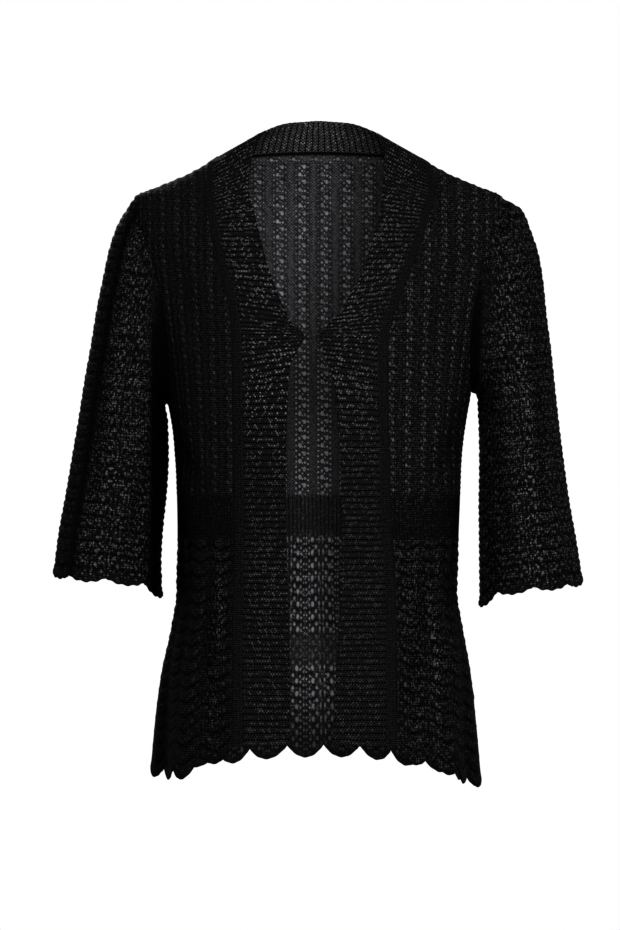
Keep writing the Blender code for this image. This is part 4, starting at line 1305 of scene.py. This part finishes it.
def lace_knit(
    name, face, gap, yarn, painted_glint_colour, painted_eyelet_light, roughness, specular, widths, least, fewest, rib_lines, lace_loops,
    sunk_loops
):
    """Viscose yarn knitted in pointelle, rib and lace: deep matt black, with a soft glint painted on a few
    loops.

    face draws the loops. gap, yarn, shine and opening are the colours between loops, on loops, of the glint
    painted on loops as if they caught the light, and of the light painted through eyelets. widths are how
    wide the bodice's and the lace's eyelets are pulled open, least how few loops get a painted glint, and
    fewest the least painted light through an eyelet. rib_lines is how dark the lines between the waist's ribs
    are, lace_loops how light the lace's loops are beside those of the bodice, and sunk_loops how light the
    loops are that sink in beside an eyelet.
    The mesh's groove value lays painted shade over all, and its light value sets the painted light.
    """
    material, tree, shader = new_material(name, roughness, specular)
    cloth = shifted_spot(tree, "cloth", 1.0)
    lace_spot = shifted_spot(tree, "lace", 1.2)
    bodice, rib, openwork, border, groove, light = (
        add(tree, "Attribute", output=2, attribute_name=value_name) for value_name in VALUE_NAMES
    )
    # Holes where the knit is open, with the loops beside them sunk and the lace's loops dimmer
    by_holes = combined(tree, "MULTIPLY", (pointelle(tree, cloth, SUNK_WIDTH * widths[0]), bodice))
    loops = combined(tree, "MULTIPLY", (
        face(tree, cloth, WALE, COURSE),
        mottle(tree, cloth, scale=0.4, least=0.4, most=1.0),
        add(tree, "MapRange", (bodice, 0.0, 1.0, lace_loops, 1.0)),
        add(tree, "MapRange", (by_holes, 0.0, 1.0, 1.0, sunk_loops)),
    ))
    holes = combined(tree, "MAXIMUM", (
        combined(tree, "MULTIPLY", (pointelle(tree, cloth, widths[0]), bodice)),
        combined(tree, "MULTIPLY", (lace(tree, lace_spot, widths[1]), openwork)),
    ))
    # Painted glints on loops that catch the light, fewer of them where the knit is close
    dots = combined(tree, "MAXIMUM", [
        speckle(tree, cloth, pitch, (0.0, 0.0), (size, size), least) for pitch, size in PAINTED_GLINTS
    ])
    by_knit = add(tree, "MapRange", (openwork, 0.0, 1.0, CLOSE_KNIT_GLINT, 1.0))
    painted_glints = combined(tree, "MULTIPLY", (dots, light, by_knit))
    # Painted light through the holes, none in the border
    inside_border = add(tree, "Math", (1.0, border), operation="SUBTRACT")
    unevenness = mottle(tree, lace_spot, scale=0.22, least=fewest, most=1.1)
    painted_light_through = combined(tree, "MULTIPLY", (holes, light, inside_border, unevenness))
    across = add(tree, "SeparateXYZ", (lace_spot,))
    lines = add(tree, "Math", (across, RIB_PITCH / 2), operation="PINGPONG")
    lines = add(tree, "MapRange", (lines, *RIB_LINE), interpolation_type="SMOOTHSTEP")
    lines = combined(tree, "MULTIPLY", (lines, rib, rib_lines))
    # Painted shade: the gap's colour laid over grooves, creases and cloth turned from the light
    shade = combined(tree, "MULTIPLY", (groove, PAINTED_SHADE_DARK))
    colour = layered(tree, gap, ((loops, yarn), (painted_glints, painted_glint_colour), (painted_light_through, painted_eyelet_light), (shade, gap), (lines, gap)))
    height = add(tree, "Math", (holes, EYELET_DEPTH, loops), operation="MULTIPLY_ADD")
    dress(tree, shader, colour, height, strength=0.55, distance=0.0006)
    return material


def band_knit(name, gap, yarn, painted_glint_colour, roughness, specular):
    """Viscose yarn knitted double, in ribs of purl loops: matt black rows of small round bumps, some with a
    painted glint.
    """
    material, tree, shader = new_material(name, roughness, specular)
    cloth = shifted_spot(tree, "cloth", 2.2)
    light = add(tree, "Attribute", output=2, attribute_name="light")
    pitch = (BAND_LOOP_PITCH, BAND_RIB_PITCH)
    # The rows of loops in each rib: where the first loop is, half its size, and how few get a painted glint
    rows = (
        ((0.0, 1.3), (0.95, 0.75), 0.72),
        ((1.45, 3.05), (1.05, 0.95), 0.45),
        ((0.2, 4.8), (0.95, 0.75), 0.72),
    )
    bumps = combined(tree, "MAXIMUM", [eyelets(tree, cloth, pitch, *row[:2]) for row in rows])
    dots = combined(tree, "MAXIMUM", [speckle(tree, cloth, pitch, *row) for row in rows])
    painted_glints = combined(tree, "MULTIPLY", (dots, light))
    colour = layered(tree, gap, ((bumps, yarn), (painted_glints, painted_glint_colour)))
    dress(tree, shader, colour, bumps, strength=0.6, distance=0.0007)
    return material


def edging_knit(name, gap, yarn, roughness, specular):
    """Viscose yarn knitted as a fine smooth tube: plain black, with narrow stitches that hardly show."""
    material, tree, shader = new_material(name, roughness, specular)
    cloth = shifted_spot(tree, "cloth", 0.9)
    loops = stitches(tree, cloth, *EDGING_STITCH)
    loops = combined(tree, "MULTIPLY", (loops, mottle(tree, cloth, scale=0.5, least=0.2, most=1.0)))
    dress(tree, shader, layered(tree, gap, ((loops, yarn),)), loops, strength=0.6, distance=0.0007)
    return material


def lacquered_wire(name, colour, worn):
    """Lacquered steel wire: smooth black with a thin highlight, a little worn where it rubs, on the eye also
    a painted highlight.
    """
    material, tree, shader = new_material(name, 0.3, 0.12)
    spot = add(tree, "TexCoord", output=3)
    rub = add(tree, "TexNoise", {"Vector": spot, "Scale": 900.0, "Detail": 3.0})
    rub = add(tree, "MapRange", (rub, 0.55, 0.75))
    tree.links.new(layered(tree, colour, ((rub, worn),)), shader.inputs["Base Color"])
    return material


def painted_board(name, colour, darker, roughness):
    """Matt painted board: even and pale, so that it gives soft light back."""
    material, tree, shader = new_material(name, roughness, 0.2)
    spot = add(tree, "TexCoord", output=3)
    patches = add(tree, "TexNoise", {"Vector": spot, "Scale": 6.0, "Detail": 2.0})
    patches = add(tree, "MapRange", (patches, 0.0, 1.0, 0.0, 0.06))
    tree.links.new(layered(tree, colour, ((patches, darker),)), shader.inputs["Base Color"])
    return material


def make_camera():
    """A level camera in front, 4.5 m away, framed as the photograph is."""
    data = bpy.data.cameras.new("camera")
    data.sensor_fit = "VERTICAL"
    data.sensor_height = SENSOR_HEIGHT
    data.lens = SENSOR_HEIGHT * CAMERA_DISTANCE / FRAME_HEIGHT
    camera = bpy.data.objects.new("camera", data)
    camera.location = (CAMERA_ACROSS * MM, -CAMERA_DISTANCE * MM, CAMERA_LEVEL * MM)
    camera.rotation_euler = (math.radians(90), 0, 0)
    bpy.context.scene.collection.objects.link(camera)
    bpy.context.scene.camera = camera


def make_light(name, place, size, power):
    data = bpy.data.lights.new(name, "AREA")
    data.size = size
    data.energy = power
    lamp = bpy.data.objects.new(name, data)
    lamp.location = place
    lamp.rotation_euler = (LIT_SPOT - Vector(place)).to_track_quat("-Z", "Y").to_euler()
    bpy.context.scene.collection.objects.link(lamp)


def make_stage():
    """A white surround, a pale round floor below, and soft lights: the strongest in front and above."""
    scene = bpy.context.scene
    world = bpy.data.worlds.new("surround")
    scene.world = world
    world.use_nodes = True
    world.node_tree.nodes["Background"].inputs["Color"].default_value = (1, 1, 1, 1)
    world.node_tree.nodes["Background"].inputs["Strength"].default_value = 1.0
    scene.view_settings.view_transform = "Standard"
    scene.view_settings.gamma = PRINT_GAMMA
    for lamp in LAMPS:
        make_light(*lamp)
    mesh = bmesh.new()
    bmesh.ops.create_circle(mesh, cap_ends=True, segments=96, radius=FLOOR_RADIUS)
    bmesh.ops.translate(mesh, verts=mesh.verts[:], vec=(0, 0, FLOOR_LEVEL))
    data = bpy.data.meshes.new("floor")
    mesh.to_mesh(data)
    mesh.free()
    data.materials.append(painted_board("Painted floor, matt", "d9d9d7", "c4c4c2", 0.8))
    floor = bpy.data.objects.new("floor", data)
    scene.collection.objects.link(floor)


def put(piece, node):
    """Let a piece of cloth ride on the garment and stand for its CAD node."""
    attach(piece, "root")
    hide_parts(node)


make_camera()
make_stage()

outside = lace_knit(
    "Viscose lace knit, outside", stitches, "020202", "2b2b2c", "606062", "525254", 0.55, 0.01,
    widths=(0.85, 0.85), least=0.7, fewest=0.1, rib_lines=0.5, lace_loops=0.6, sunk_loops=0.7
)
# The inside's colours are lighter than the outside's: painted light, as if more light reached it; its purl
# loops are its own
inside = lace_knit(
    "Viscose lace knit, inside, with painted light", purl_side, "111112", "606062", "6c6c6e", "8a8a8e", 0.6, 0.02,
    widths=(1.12, 1.04), least=0.75, fewest=0.4, rib_lines=0.8, lace_loops=0.5, sunk_loops=0.2
)
band_outside = band_knit("Viscose band knit, outside", "040404", "222223", "606062", 0.55, 0.012)
# The bands' and collar's inside is painted lighter in the same way
band_inside_painted_light = band_knit("Viscose band knit, inside, with painted light", "1b1b1c", "525254", "8c8c8f", 0.6, 0.02)
tube_knit = edging_knit("Viscose tube knit", "030303", "2c2c2d", 0.55, 0.012)
wire = {
    "hook": lacquered_wire("Lacquered steel wire", "040404", "1c1c1d"),
    # The eye's lighter worn grey is wear and a painted highlight
    "eye": lacquered_wire("Lacquered steel wire, worn, with painted highlight", "060606", "4a4a4c"),
}

put(make_back([outside, inside]), "back")
put(make_collar([band_outside, band_inside_painted_light]), "collar")
put(make_neck_edging([tube_knit, inside]), "edging_neck")
for side in (-1, 1):
    word = side_name(side)
    put(make_front(side, [outside, inside]), "front_" + word)
    put(make_edging(side, [tube_knit, tube_knit]), "edging_" + word)
    put(make_band(side, [band_outside, band_inside_painted_light]), "band_" + word)
    put(make_sleeve(side, [outside, inside]), "sleeve_" + word)
for name in ("hook", "eye"):
    for material_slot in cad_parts[name].material_slots:
        material_slot.material = wire[name]
